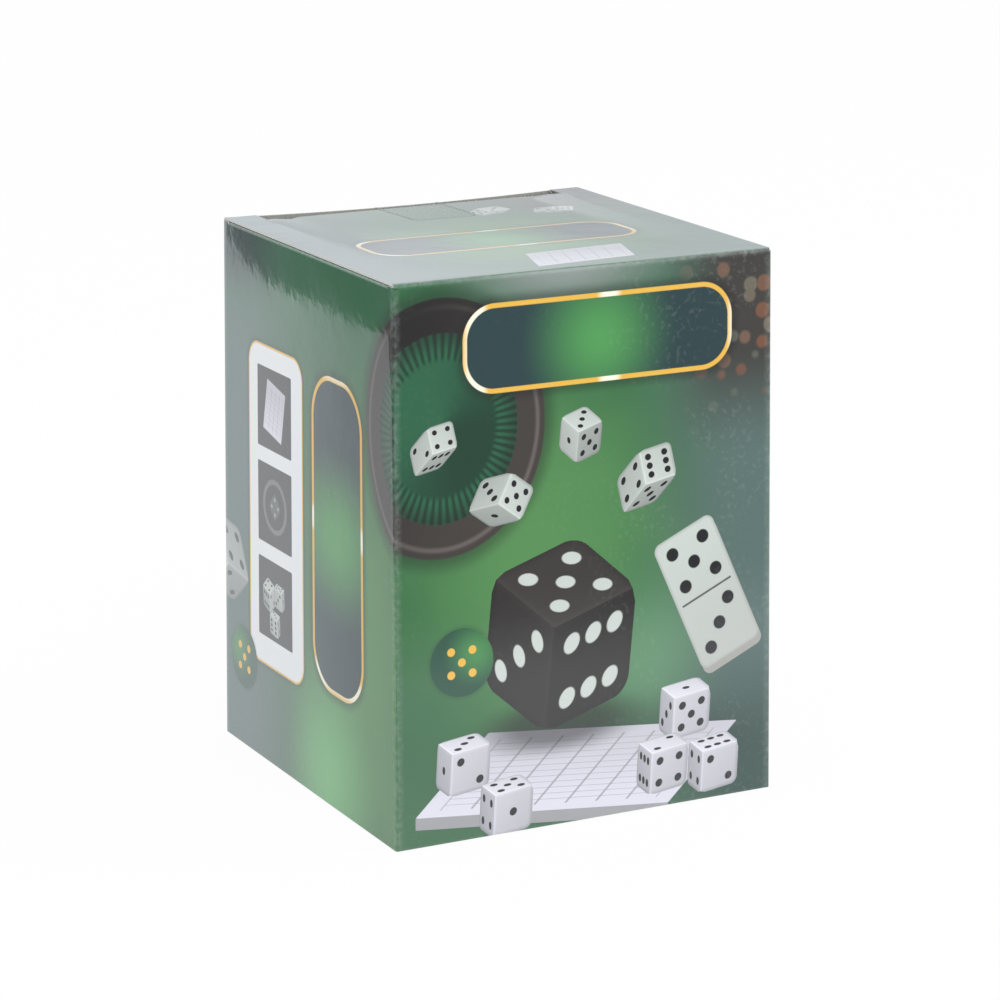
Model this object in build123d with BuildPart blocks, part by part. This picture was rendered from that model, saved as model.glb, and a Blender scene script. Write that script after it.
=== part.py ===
from build123d import *
import math
import os

# A dice game set: a closed tuck-top carton that holds a dice cup with five dice and a score pad.
# Lengths are in millimetres. The origin is under the middle of the carton, +Z is up, the front
# wall faces -Y and the left wall faces -X. Every piece stands where it is in the closed carton.

os.makedirs("parts", exist_ok=True)

# Carton
carton_width = 90.0
carton_depth = 90.0
carton_height = 118.6
front_top_inset = 2.0
back_top_inset = 1.9
side_top_inset = 0.9
board = 0.45
layer_gap = 0.1
crease_gap = 0.15
cut_overrun = 1.0

# Lid and tuck flap
lid_side_inset = 0.3
lid_back_inset = 0.9
tuck_length = 16.0
tuck_side_inset = 1.7
tuck_corner = 9.0
tuck_lean_deg = 8.0

# Dust flaps
dust_flap_reach = 35.0
dust_flap_front_inset = 2.0
dust_flap_taper_share = 0.62
dust_flap_back_inset = 3.0
dust_shoulder_reach = 8.0
dust_shoulder_depth = 3.5
dust_flap_corner = 4.0

# Side seam
glue_flap_width = 14.0
glue_flap_taper = 6.0
glue_flap_end_inset = 4.0

# Snap-lock bottom
bottom_side_gap = 0.3
bottom_front_reach = 44.0
bottom_front_taper = 14.0
bottom_side_reach = 27.0
bottom_side_taper = 12.0
bottom_side_hook = 20.0
bottom_back_reach = 50.0
bottom_back_taper = 12.0
tongue_width = 30.0
tongue_rise_run = 4.0
tongue_reach = 13.0
tongue_corner = 4.0
notch_side_gap = 1.5

# Clear seal
seal_width = 16.0
seal_leg = 21.0
seal_film = 0.1
seal_corner = 2.5
seal_offset = 0.5

# Dice cup
cup_front_gap = 0.65
cup_side_gap = 1.5
cup_pad_gap = 0.7
cup_head_gap = 17.2
cup_base_share = 0.79
cover_thickness = 0.8
core_thickness = 1.4
lining_thickness = 1.2
lining_web = 0.45
lining_rib_count = 40
rim_band_height = 6.0
rim_band_projection = 0.9
rim_band_inner_drop = 3.0
rim_band_roll = 1.6
rim_band_round = 1.2
cup_base_thickness = 2.5
lining_floor_thickness = 1.0
cover_foot_round = 0.5

# Dice: their size is a share of the cup's rim radius, and their rounds and pips are shares of it
die_share = 0.41
die_edge_round_share = 0.075
pip_radius_share = 0.09375
pip_depth_share = 0.0375
pip_sides = 12
pip_pitch_share = 0.26
die_place_shares = ((0.0, 0.0), (1.1, 0.04), (-0.03, 1.1), (-1.1, -0.04), (0.03, -1.1))
die_yaws_deg = (6.0, -3.0, 4.0, -2.0, 3.0)
die_quarter_rolls = ((0, 0), (1, 0), (0, 1), (2, 1), (3, 0))

# Score pad
pad_side_gap = 6.55
pad_head_gap = 7.2
pad_sheets_thickness = 4.8
pad_backing_thickness = 0.9
pad_top_sheet_thickness = 0.15
pad_binding_thickness = 0.3
pad_back_gap = 0.5

# Levels that the pieces share
lid_top = carton_height
lid_under = lid_top - board
front_wall_top = lid_under - crease_gap
back_wall_top = lid_top - layer_gap
dust_flap_top = lid_under - layer_gap
side_wall_top = dust_flap_top - board - crease_gap
pad_floor = 3 * board
pad_top = lid_under - tuck_length - pad_head_gap
cup_floor = 4 * board
cup_rim_level = dust_flap_top - board - cup_head_gap


# The walls lean in: each inner face stands nearer the middle the higher it is
def inner_side(height):
    """How far the side walls' inner faces stand from the middle at a height."""
    return carton_width / 2 - board - side_top_inset * height / carton_height


def inner_front(height):
    """Where the front wall's inner face stands at a height."""
    return board - carton_depth / 2 + front_top_inset * height / carton_height


def inner_back(height):
    """Where the back wall's inner face stands at a height."""
    return carton_depth / 2 - board - back_top_inset * height / carton_height


# The pad fills the width between its side gaps at its top, which ends under the tuck flap
pad_width = 2 * (inner_side(pad_top) - pad_side_gap)
pad_back = inner_back(pad_top) - pad_back_gap
pad_sheets_back = pad_back - pad_backing_thickness
pad_sheets_front = pad_sheets_back - pad_sheets_thickness
pad_front = pad_sheets_front - pad_top_sheet_thickness

# The cup's rim fills the depth left in front of the pad, or the width if that is less
cup_front = inner_front(cup_rim_level) + cup_front_gap
cup_depth_room = (pad_front - cup_pad_gap - cup_front) / 2
cup_rim_radius = min(cup_depth_room, inner_side(cup_rim_level) - cup_side_gap)
cup_base_radius = cup_base_share * cup_rim_radius
cup_middle = cup_front + cup_rim_radius
cup_height = cup_rim_level - cup_floor


def save(piece, name):
    """Labels a finished piece and writes it to its own file."""
    piece.label = name
    export_step(piece, f"parts/{name}.step")


# The four walls of the sleeve meet at mitred creases
def sleeve_corners(height, outset):
    """The sleeve's four corners at a height, from the front left one round by the front right one,
    so far outside the inner faces."""
    right = inner_side(height) + outset
    front = inner_front(height) - outset
    back = inner_back(height) + outset
    return ((-right, front), (right, front), (right, back), (-right, back))


def make_wall(first, second, top):
    """The leaning wall between two of the sleeve's corners, from the ground to its top."""
    with BuildPart() as wall:
        for height in (0, top):
            outer = sleeve_corners(height, board)
            inner = sleeve_corners(height, 0)
            with BuildSketch(Plane.XY.offset(height)):
                Polygon(outer[first], outer[second], inner[second], inner[first], align=None)
        loft(ruled=True)
    return wall.part


save(make_wall(0, 1, front_wall_top), "front_wall")
save(make_wall(1, 2, side_wall_top), "right_wall")
save(make_wall(2, 3, back_wall_top), "back_wall")
save(make_wall(3, 0, side_wall_top), "left_wall")

# The glue flap folds from the back wall and is stuck inside the right wall: a leaning strip is
# made beside the wall and trimmed to the flap's outline
glue_flap_bottom = cup_floor + glue_flap_end_inset
glue_flap_top = side_wall_top - glue_flap_end_inset
glue_flap_edge = inner_back(glue_flap_top) - glue_flap_width

with BuildPart() as glue_flap:
    for height in (glue_flap_bottom, glue_flap_top):
        stuck_x, back = sleeve_corners(height, 0)[2]
        free_x = stuck_x - board
        with BuildSketch(Plane.XY.offset(height)):
            Polygon(
                (stuck_x, back),
                (stuck_x, glue_flap_edge - cut_overrun),
                (free_x, glue_flap_edge - cut_overrun),
                (free_x, back),
                align=None,
            )
    loft(ruled=True)
    with BuildSketch(Plane.YZ):
        Polygon(
            (carton_depth / 2, glue_flap_bottom),
            (carton_depth / 2, glue_flap_top),
            (glue_flap_edge, glue_flap_top - glue_flap_taper),
            (glue_flap_edge, glue_flap_bottom + glue_flap_taper),
            align=None,
        )
    extrude(amount=carton_width / 2, mode=Mode.INTERSECT)
save(glue_flap.part, "glue_flap")

# Snap-lock bottom: the front flap is folded last, so it lies outermost, and its tongue climbs
# through the notch of the back flap and locks on top of it
bottom_half_width = inner_side(cup_floor) - bottom_side_gap
front_flap_crease = inner_front(board)
front_flap_edge = front_flap_crease + bottom_front_reach
tongue_bend = front_flap_edge + tongue_rise_run
tongue_tip = tongue_bend + tongue_reach
notch_half_width = tongue_width / 2 + notch_side_gap

with BuildPart() as bottom_front_flap:
    with BuildSketch(Plane.XY):
        Polygon(
            (-bottom_half_width, front_flap_crease),
            (bottom_half_width, front_flap_crease),
            (bottom_half_width, front_flap_edge - bottom_front_taper),
            (bottom_half_width - bottom_front_taper, front_flap_edge),
            (bottom_front_taper - bottom_half_width, front_flap_edge),
            (-bottom_half_width, front_flap_edge - bottom_front_taper),
            align=None,
        )
    extrude(amount=board)
    with BuildSketch(Plane.YZ.offset(-tongue_width / 2)):
        Polygon(
            (front_flap_edge - tongue_rise_run, 0),
            (front_flap_edge, 0),
            (tongue_bend, 3 * board),
            (tongue_tip, 3 * board),
            (tongue_tip, 4 * board),
            (tongue_bend, 4 * board),
            (front_flap_edge, board),
            (front_flap_edge - tongue_rise_run, board),
            align=None,
        )
    extrude(amount=tongue_width)
    tip_corners = bottom_front_flap.edges().filter_by(Axis.Z).group_by(Axis.Y)[-1]
    fillet(tip_corners, radius=tongue_corner)
save(bottom_front_flap.part, "bottom_front_flap")

side_flap_crease = -inner_side(2 * board)
side_flap_edge = side_flap_crease + bottom_side_reach

with BuildPart() as bottom_left_flap:
    with BuildSketch(Plane.XY.offset(board)):
        Polygon(
            (side_flap_crease, inner_front(2 * board) + bottom_side_gap),
            (side_flap_edge, -bottom_side_hook),
            (side_flap_edge, bottom_side_hook - bottom_side_taper),
            (side_flap_edge - bottom_side_taper, bottom_side_hook),
            (side_flap_crease, inner_back(2 * board) - bottom_side_gap),
            align=None,
        )
    extrude(amount=board)
save(bottom_left_flap.part, "bottom_left_flap")

with BuildPart() as bottom_right_flap:
    add(bottom_left_flap.part)
    mirror(about=Plane.YZ, mode=Mode.REPLACE)
save(bottom_right_flap.part, "bottom_right_flap")

back_flap_crease = inner_back(3 * board)
back_flap_edge = back_flap_crease - bottom_back_reach

with BuildPart() as bottom_back_flap:
    with BuildSketch(Plane.XY.offset(2 * board)):
        Polygon(
            (-bottom_half_width, back_flap_crease),
            (bottom_half_width, back_flap_crease),
            (bottom_half_width, back_flap_edge + bottom_back_taper),
            (bottom_half_width - bottom_back_taper, back_flap_edge),
            (notch_half_width, back_flap_edge),
            (notch_half_width, tongue_bend + layer_gap),
            (-notch_half_width, tongue_bend + layer_gap),
            (-notch_half_width, back_flap_edge),
            (bottom_back_taper - bottom_half_width, back_flap_edge),
            (-bottom_half_width, back_flap_edge + bottom_back_taper),
            align=None,
        )
    extrude(amount=board)
save(bottom_back_flap.part, "bottom_back_flap")

# The lid is creased to the top of the front wall
top_half_width = inner_side(lid_top) + board
lid_front = inner_front(lid_top) - board
lid_back = inner_back(lid_top) + board - lid_back_inset
lid_half_width = top_half_width - lid_side_inset

with BuildPart() as lid_panel:
    with BuildSketch(Plane.XY.offset(lid_under)):
        Polygon(
            (-lid_half_width, lid_front),
            (lid_half_width, lid_front),
            (lid_half_width, lid_back),
            (-lid_half_width, lid_back),
            align=None,
        )
    extrude(amount=board)
save(lid_panel.part, "lid_panel")

# The tuck flap hangs from the lid's back edge, leaning inward so that it clears the back wall
tuck_lean = math.radians(tuck_lean_deg)
tuck_plane = Plane(
    origin=(0, lid_back, lid_under),
    x_dir=(1, 0, 0),
    z_dir=(0, math.cos(tuck_lean), -math.sin(tuck_lean)),
)
tuck_half_width = top_half_width - tuck_side_inset

with BuildPart() as tuck_flap:
    with BuildSketch(tuck_plane) as tuck_outline:
        Polygon(
            (-tuck_half_width, crease_gap),
            (tuck_half_width, crease_gap),
            (tuck_half_width, tuck_length),
            (-tuck_half_width, tuck_length),
            align=None,
        )
        free_corners = tuck_outline.vertices().group_by(Axis.Y)[-1]
        fillet(free_corners, radius=tuck_corner)
    extrude(amount=-board)
save(tuck_flap.part, "tuck_flap")

# Dust flaps: each front edge is tapered, so that the flap rises under the opening lid
dust_hinge = -inner_side(dust_flap_top) - board
dust_tip = dust_hinge + dust_flap_reach
dust_front = lid_front + dust_flap_front_inset
dust_front_tip = dust_front + dust_flap_taper_share * dust_flap_reach
dust_back = inner_back(dust_flap_top) + board - dust_flap_back_inset
dust_back_tip = dust_back - dust_shoulder_depth

with BuildPart() as left_dust_flap:
    with BuildSketch(Plane.XY.offset(dust_flap_top - board)) as dust_outline:
        Polygon(
            (dust_hinge, dust_front),
            (dust_tip, dust_front_tip),
            (dust_tip, dust_back_tip),
            (dust_hinge + dust_shoulder_reach, dust_back_tip),
            (dust_hinge + dust_shoulder_reach, dust_back),
            (dust_hinge, dust_back),
            align=None,
        )
        tip_corners = dust_outline.vertices().group_by(Axis.X)[-1]
        fillet(tip_corners, radius=dust_flap_corner)
    extrude(amount=board)
save(left_dust_flap.part, "left_dust_flap")

with BuildPart() as right_dust_flap:
    add(left_dust_flap.part)
    mirror(about=Plane.YZ, mode=Mode.REPLACE)
save(right_dust_flap.part, "right_dust_flap")

# The clear seal bends from the lid over the leaning back wall and rides with the lid
seal_bottom = lid_top - seal_leg
seal_bend = inner_back(lid_top) + board + layer_gap
seal_end = inner_back(seal_bottom) + board + layer_gap
seal_front = seal_bend - seal_leg

with BuildPart() as seal_sticker:
    with BuildSketch(Plane.YZ.offset(seal_offset - seal_width / 2)):
        Polygon(
            (seal_front, lid_top),
            (seal_bend, lid_top),
            (seal_end, seal_bottom),
            (seal_end + seal_film, seal_bottom),
            (seal_bend + seal_film, lid_top + seal_film),
            (seal_front, lid_top + seal_film),
            align=None,
        )
    extrude(amount=seal_width)
    lid_corners = seal_sticker.edges().filter_by(Axis.Z).group_by(Axis.Y)[0]
    back_corners = seal_sticker.edges().filter_by(Axis.Y).group_by(Axis.Z)[0]
    fillet(lid_corners + back_corners, radius=seal_corner)
save(seal_sticker.part, "seal_sticker")

# Dice cup: every skin of its wall follows one tapering line
cup_centre = (0, cup_middle, cup_floor)
cup_axis = Axis(cup_centre, (0, 0, 1))
cup_section = Plane(origin=cup_centre, x_dir=(1, 0, 0), z_dir=(0, -1, 0))
cover_top_radius = cup_rim_radius - rim_band_projection
cup_band_bottom = cup_height - rim_band_height
cup_lining_top = cup_height - rim_band_inner_drop
cup_roll_bottom = cup_height - rim_band_roll
core_inset = cover_thickness
bore_inset = core_inset + core_thickness
lining_inset = bore_inset + lining_thickness


def wall_point(height, inset):
    """A point of the cup's section at a height, so far inside the cover's outer face."""
    taper = (cover_top_radius - cup_base_radius) / cup_height
    return (cup_base_radius + taper * height - inset, height)


def cup_shell(bottom, top, outer_inset, inner_inset):
    """The section of one skin of the cup's wall between two heights."""
    Polygon(
        wall_point(bottom, inner_inset),
        wall_point(bottom, outer_inset),
        wall_point(top, outer_inset),
        wall_point(top, inner_inset),
        align=None,
    )


def cup_disc(bottom, top, inset):
    """The section of a disc that fills the cup between two heights."""
    Polygon(
        (0, bottom),
        wall_point(bottom, inset),
        wall_point(top, inset),
        (0, top),
        align=None,
    )


with BuildPart() as cup_cover:
    with BuildSketch(cup_section) as cover_profile:
        cup_shell(0, cup_band_bottom, 0, core_inset)
    revolve(axis=cup_axis)
    foot_edge = cup_cover.edges().group_by(Axis.Z)[0].sort_by(SortBy.LENGTH)[-1]
    fillet(foot_edge, radius=cover_foot_round)
save(cup_cover.part, "cup_cover")

with BuildPart() as cup_core:
    with BuildSketch(cup_section):
        cup_shell(0, cup_roll_bottom, core_inset, bore_inset)
    revolve(axis=cup_axis)
save(cup_core.part, "cup_core")

with BuildPart() as cup_base:
    with BuildSketch(cup_section):
        cup_disc(0, cup_base_thickness, bore_inset)
    revolve(axis=cup_axis)
save(cup_base.part, "cup_base")

# The rim band is rolled over the top of the core, down both sides of it
with BuildPart() as cup_rim_band:
    with BuildSketch(cup_section) as band_profile:
        Polygon(
            wall_point(cup_band_bottom, -rim_band_projection),
            wall_point(cup_height, -rim_band_projection),
            wall_point(cup_height, lining_inset),
            wall_point(cup_lining_top, lining_inset),
            wall_point(cup_lining_top, bore_inset),
            wall_point(cup_roll_bottom, bore_inset),
            wall_point(cup_roll_bottom, core_inset),
            wall_point(cup_band_bottom, core_inset),
            align=None,
        )
        roll_corners = band_profile.vertices().group_by(Axis.Y)[-1]
        fillet(roll_corners, radius=rim_band_round)
    revolve(axis=cup_axis)
save(cup_rim_band.part, "cup_rim_band")


def rib_star(height):
    """The lining's inner outline at a height: rib crests and the valleys between them."""
    crest_radius = wall_point(height, lining_inset)[0]
    valley_radius = wall_point(height, bore_inset + lining_web)[0]
    corners = []
    for step in range(2 * lining_rib_count):
        angle = math.pi * step / lining_rib_count
        radius = crest_radius if step % 2 == 0 else valley_radius
        corners.append((radius * math.cos(angle), radius * math.sin(angle)))
    return corners


with BuildPart() as cup_lining:
    with BuildSketch(cup_section):
        cup_disc(cup_base_thickness, cup_lining_top, bore_inset)
    revolve(axis=cup_axis)
    for star_height in (cup_base_thickness - cut_overrun, cup_lining_top + cut_overrun):
        star_plane = Plane(origin=(0, cup_middle, cup_floor + star_height))
        with BuildSketch(star_plane):
            Polygon(*rib_star(star_height), align=None)
    loft(ruled=True, mode=Mode.SUBTRACT)
save(cup_lining.part, "cup_lining")

lining_floor_top = cup_base_thickness + lining_floor_thickness

with BuildPart() as cup_lining_floor:
    with BuildSketch(cup_section):
        cup_disc(cup_base_thickness, lining_floor_top, lining_inset)
    revolve(axis=cup_axis)
save(cup_lining_floor.part, "cup_lining_floor")

# Dice: opposite faces add up to seven, and the pips are drilled
die_size = die_share * cup_rim_radius
die_edge_round = die_edge_round_share * die_size
pip_radius = pip_radius_share * die_size
pip_depth = pip_depth_share * die_size
pip_pitch = pip_pitch_share * die_size
pip_spots = {
    1: ((0, 0),),
    2: ((-1, -1), (1, 1)),
    3: ((-1, -1), (0, 0), (1, 1)),
    4: ((-1, -1), (-1, 1), (1, -1), (1, 1)),
    5: ((-1, -1), (-1, 1), (0, 0), (1, -1), (1, 1)),
    6: ((-1, -1), (-1, 0), (-1, 1), (1, -1), (1, 0), (1, 1)),
}
die_faces = (
    (1, (0, 0, 1), (1, 0, 0)),
    (6, (0, 0, -1), (1, 0, 0)),
    (2, (0, -1, 0), (1, 0, 0)),
    (5, (0, 1, 0), (1, 0, 0)),
    (3, (1, 0, 0), (0, 1, 0)),
    (4, (-1, 0, 0), (0, 1, 0)),
)
die_centre_height = cup_floor + lining_floor_top + die_size / 2


def make_die(centre, yaw_deg, quarter_rolls):
    """One rounded die about its centre, turned on the cup's floor and rolled onto a face."""
    roll = Location((0, 0, 0), (90 * quarter_rolls[0], 90 * quarter_rolls[1], 0))
    placing = Location(centre, (0, 0, yaw_deg)) * roll
    with BuildPart(Plane(placing)) as die:
        Box(die_size, die_size, die_size)
        fillet(die.edges(), radius=die_edge_round)
        for count, normal, across in die_faces:
            face_origin = tuple(die_size / 2 * share for share in normal)
            face_plane = Plane(origin=face_origin, x_dir=across, z_dir=normal)
            with BuildSketch(Plane(placing * face_plane.location)):
                spots = [(pip_pitch * u, pip_pitch * v) for u, v in pip_spots[count]]
                with Locations(*spots):
                    RegularPolygon(radius=pip_radius, side_count=pip_sides)
            extrude(amount=-pip_depth, mode=Mode.SUBTRACT)
    return die.part


for number, (place, yaw, rolls) in enumerate(zip(die_place_shares, die_yaws_deg, die_quarter_rolls), 1):
    die_x = place[0] * die_size
    die_y = cup_middle + place[1] * die_size
    save(make_die((die_x, die_y, die_centre_height), yaw, rolls), f"die_{number}")

# The score pad stands on its foot against the back wall, its glued edge up
pad_plies_top = pad_top - pad_binding_thickness
pad_middle_height = (pad_floor + pad_plies_top) / 2


def make_pad_ply(front, thickness):
    """One upright layer of the pad, from its front face back."""
    with BuildPart() as ply:
        with BuildSketch(Plane.XZ.offset(-front)):
            with Locations((0, pad_middle_height)):
                Rectangle(pad_width, pad_plies_top - pad_floor)
        extrude(amount=-thickness)
    return ply.part


save(make_pad_ply(pad_sheets_back, pad_backing_thickness), "pad_backing_board")
save(make_pad_ply(pad_sheets_front, pad_sheets_thickness), "pad_sheets")
save(make_pad_ply(pad_front, pad_top_sheet_thickness), "pad_top_sheet")

with BuildPart() as pad_glue_binding:
    with BuildSketch(Plane.XY.offset(pad_plies_top)):
        Polygon(
            (-pad_width / 2, pad_front),
            (pad_width / 2, pad_front),
            (pad_width / 2, pad_back),
            (-pad_width / 2, pad_back),
            align=None,
        )
    extrude(amount=pad_binding_thickness)
save(pad_glue_binding.part, "pad_glue_binding")
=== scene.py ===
import math

import bmesh
import bpy
import numpy as np
from bpy.props import FloatProperty, FloatVectorProperty, IntProperty, PointerProperty
from bpy.types import Operator, Panel, PropertyGroup
from mathutils import Matrix, Vector


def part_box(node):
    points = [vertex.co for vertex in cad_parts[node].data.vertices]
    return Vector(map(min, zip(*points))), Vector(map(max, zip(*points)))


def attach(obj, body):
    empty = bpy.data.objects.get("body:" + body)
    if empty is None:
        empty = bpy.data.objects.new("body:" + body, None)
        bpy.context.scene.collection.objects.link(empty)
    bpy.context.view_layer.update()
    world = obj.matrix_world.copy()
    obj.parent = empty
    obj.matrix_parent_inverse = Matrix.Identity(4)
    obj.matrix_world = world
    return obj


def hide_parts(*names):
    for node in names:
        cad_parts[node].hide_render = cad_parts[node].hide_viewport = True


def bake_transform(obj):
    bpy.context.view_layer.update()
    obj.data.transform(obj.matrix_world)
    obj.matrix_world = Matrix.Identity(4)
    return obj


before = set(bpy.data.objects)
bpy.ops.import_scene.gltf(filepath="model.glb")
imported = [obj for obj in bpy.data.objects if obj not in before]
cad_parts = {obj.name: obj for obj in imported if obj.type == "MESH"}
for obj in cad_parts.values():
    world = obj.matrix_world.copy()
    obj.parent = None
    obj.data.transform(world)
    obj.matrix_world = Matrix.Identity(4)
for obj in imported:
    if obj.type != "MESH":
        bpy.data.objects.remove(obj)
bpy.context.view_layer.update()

bl_info = {
    "name": "Dice game set",
    "version": (1, 0, 0),
    "blender": (4, 5, 0),
    "location": "3D View > Sidebar > Dice set",
    "description": "Dresses a closed folding carton, its dice cup, five dice and score pad",
    "category": "Object",
}

MM = 0.001


def box_mm(node):
    """A CAD node's lowest and highest corner, in millimetres."""
    low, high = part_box(node)
    return np.array(low) / MM, np.array(high) / MM


# Sizes that the frame gives

_, FRONT_HIGH = box_mm("front_wall")
_, BACK_HIGH = box_mm("back_wall")
LID_LOW, LID_HIGH = box_mm("lid_panel")
TUCK_LOW, TUCK_HIGH = box_mm("tuck_flap")
DUST_LOW, DUST_HIGH = box_mm("left_dust_flap")
SEAL_LOW, SEAL_HIGH = box_mm("seal_sticker")
CUP_LOW, CUP_HIGH = box_mm("cup_cover")
_, BAND_HIGH = box_mm("cup_rim_band")
BORE_LOW, BORE_HIGH = box_mm("cup_lining")
HALF_WIDTH = float(FRONT_HIGH[0])
HALF_DEPTH = float(BACK_HIGH[1])
LID_TOP = LID_HIGH[2]
BOARD = LID_HIGH[2] - LID_LOW[2]


def node_places(node):
    """All the points of a CAD node, in millimetres."""
    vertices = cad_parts[node].data.vertices
    places = np.empty(3 * len(vertices))
    vertices.foreach_get("co", places)
    return places.reshape(-1, 3) / MM


def highest(node):
    """A CAD node's points at its very top."""
    places = node_places(node)
    return places[places[:, 2] > places[:, 2].max() - 0.01]


FRONT_DRAW = LID_LOW[1] + HALF_DEPTH
BACK_DRAW = (HALF_DEPTH - highest("back_wall")[:, 1].max()) * LID_TOP / BACK_HIGH[2]
SIDE_DRAW = (HALF_WIDTH - highest("back_wall")[:, 0].max()) * LID_TOP / BACK_HIGH[2]


def upright_x(x, height):
    """The place across that lean() would move to x at a height."""
    return x / (1 - height / LID_TOP * SIDE_DRAW / HALF_WIDTH)


def upright_y(y, height):
    """The place in depth that lean() would move to y at a height."""
    up = height / LID_TOP
    return (y + up * (BACK_DRAW - FRONT_DRAW) / 2) / (1 - up * (BACK_DRAW + FRONT_DRAW) / 2 / HALF_DEPTH)


LID_SIDE = upright_x(LID_HIGH[0], LID_TOP)
LID_BACK = upright_y(LID_HIGH[1], LID_TOP)


# What a user would change

class BoardSettings(PropertyGroup):
    crease_radius: FloatProperty(
        name="Crease radius", description="Outer radius of the lid's and dust flaps' creases, in mm",
        default=0.85, min=0.5, max=3.0)
    corner_radius: FloatProperty(
        name="Corner radius", description="Outer radius of the upright creases, in mm",
        default=0.6, min=0.5, max=3.0)
    bulge: FloatProperty(
        name="Bulge", description="How far the middle of a wall swells past its corners, in mm",
        default=0.08, min=0.0, max=2.0)
    waviness: FloatProperty(
        name="Waviness", description="Height of the slow waves in the board, in mm",
        default=0.03, min=0.0, max=0.5)


class PrintSettings(PropertyGroup):
    deep_green: FloatVectorProperty(
        name="Deep green", description="Printed green at the edges", subtype="COLOR",
        default=(0.026, 0.125, 0.048))
    bright_green: FloatVectorProperty(
        name="Bright green", description="Printed green in the glow", subtype="COLOR",
        default=(0.085, 0.25, 0.080))
    slate: FloatVectorProperty(
        name="Slate", description="Blue-grey haze at the sides", subtype="COLOR",
        default=(0.100, 0.155, 0.150))
    gold: FloatVectorProperty(
        name="Gold", description="Printed gold lines", subtype="COLOR",
        default=(0.78, 0.46, 0.07))
    gloss_roughness: FloatProperty(
        name="Gloss roughness", description="Roughness of the laminate", subtype="FACTOR",
        default=0.05, min=0.0, max=1.0)


class CupSettings(PropertyGroup):
    cover_color: FloatVectorProperty(
        name="Cover", description="Colour of the cup's grained cover", subtype="COLOR",
        default=(0.012, 0.011, 0.011))
    felt_color: FloatVectorProperty(
        name="Felt", description="Colour of the cup's lining", subtype="COLOR",
        default=(0.012, 0.16, 0.06))
    rib_count: IntProperty(
        name="Ribs", description="Number of upright ribs in the lining", default=40, min=12, max=120)


class DiceSettings(PropertyGroup):
    ivory: FloatVectorProperty(
        name="Ivory", description="Colour of the dice", subtype="COLOR",
        default=(0.80, 0.79, 0.74))
    edge_round: FloatProperty(
        name="Edge radius", description="Radius of the dice's edges, in mm",
        default=1.9, min=0.3, max=4.0)
    pip_radius: FloatProperty(
        name="Pip radius", description="Radius of a drilled pip, in mm",
        default=1.5, min=0.5, max=2.5)


class StageSettings(PropertyGroup):
    azimuth: FloatProperty(
        name="Azimuth", description="Camera's turn about the carton, in degrees", default=-27.14)
    elevation: FloatProperty(
        name="Elevation", description="Camera's height above the horizon, in degrees", default=14.61)
    distance: FloatProperty(
        name="Distance", description="From the camera to the middle of the carton, in mm", default=783.9)
    lens: FloatProperty(
        name="Lens", description="Focal length on a 36 mm sensor, in mm", default=129.27)


SETTINGS = {
    "diceset_board": BoardSettings,
    "diceset_print": PrintSettings,
    "diceset_cup": CupSettings,
    "diceset_dice": DiceSettings,
    "diceset_stage": StageSettings,
}


# Meshes from whole grids of points

def grid_faces(rows, columns, start, closed_rows=False, closed_columns=False):
    """Quads that join each point of a rows by columns grid to its next neighbours both ways."""
    row = np.arange(rows if closed_rows else rows - 1)
    column = np.arange(columns if closed_columns else columns - 1)
    a, b = np.meshgrid(row, column, indexing="ij")
    a, b = a.ravel(), b.ravel()
    next_a, next_b = (a + 1) % rows, (b + 1) % columns
    quads = (a * columns + b, next_a * columns + b, next_a * columns + next_b, a * columns + next_b)
    return start + np.stack(quads, axis=1)


def border_faces(rows, columns, offset, closed_rows):
    """Quads that join the border of one grid to the border of the grid stored offset points later."""
    index = np.arange(rows * columns).reshape(rows, columns)
    first, last = index[:, 0], index[:, -1]
    if closed_rows:
        loops = [np.append(first, first[0]), np.append(last, last[0])]
    else:
        loops = [np.concatenate([first, index[-1, 1:], last[::-1][1:], index[0, ::-1][1:]])]
    return np.concatenate([
        np.stack([path[:-1], path[1:], path[1:] + offset, path[:-1] + offset], axis=1)
        for path in loops])


def build_object(name, points, groups, materials, attributes, sharp_degrees=38.0):
    """One object from points in millimetres and groups of quads, a material slot for each group."""
    quads = np.concatenate([faces for faces, _ in groups])
    slot_numbers = np.concatenate([np.broadcast_to(number, len(faces)) for faces, number in groups])
    mesh = bpy.data.meshes.new(name)
    mesh.from_pydata((points * MM).tolist(), [], quads.tolist())
    for material in materials:
        mesh.materials.append(material)
    mesh.polygons.foreach_set("material_index", slot_numbers.astype(np.int32))
    for key, values in attributes.items():
        kind = "FLOAT_VECTOR" if values.ndim == 2 else "FLOAT"
        field = "vector" if values.ndim == 2 else "value"
        layer = mesh.attributes.new(key, kind, "POINT")
        layer.data.foreach_set(field, values.astype(np.float32).ravel())
    work = bmesh.new()
    work.from_mesh(mesh)
    bmesh.ops.recalc_face_normals(work, faces=work.faces)
    work.to_mesh(mesh)
    work.free()
    mesh.polygons.foreach_set("use_smooth", np.ones(len(mesh.polygons), dtype=bool))
    mesh.set_sharp_from_angle(angle=math.radians(sharp_degrees))
    mesh.update()
    thing = bpy.data.objects.new(name, mesh)
    bpy.context.scene.collection.objects.link(thing)
    return thing


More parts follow.
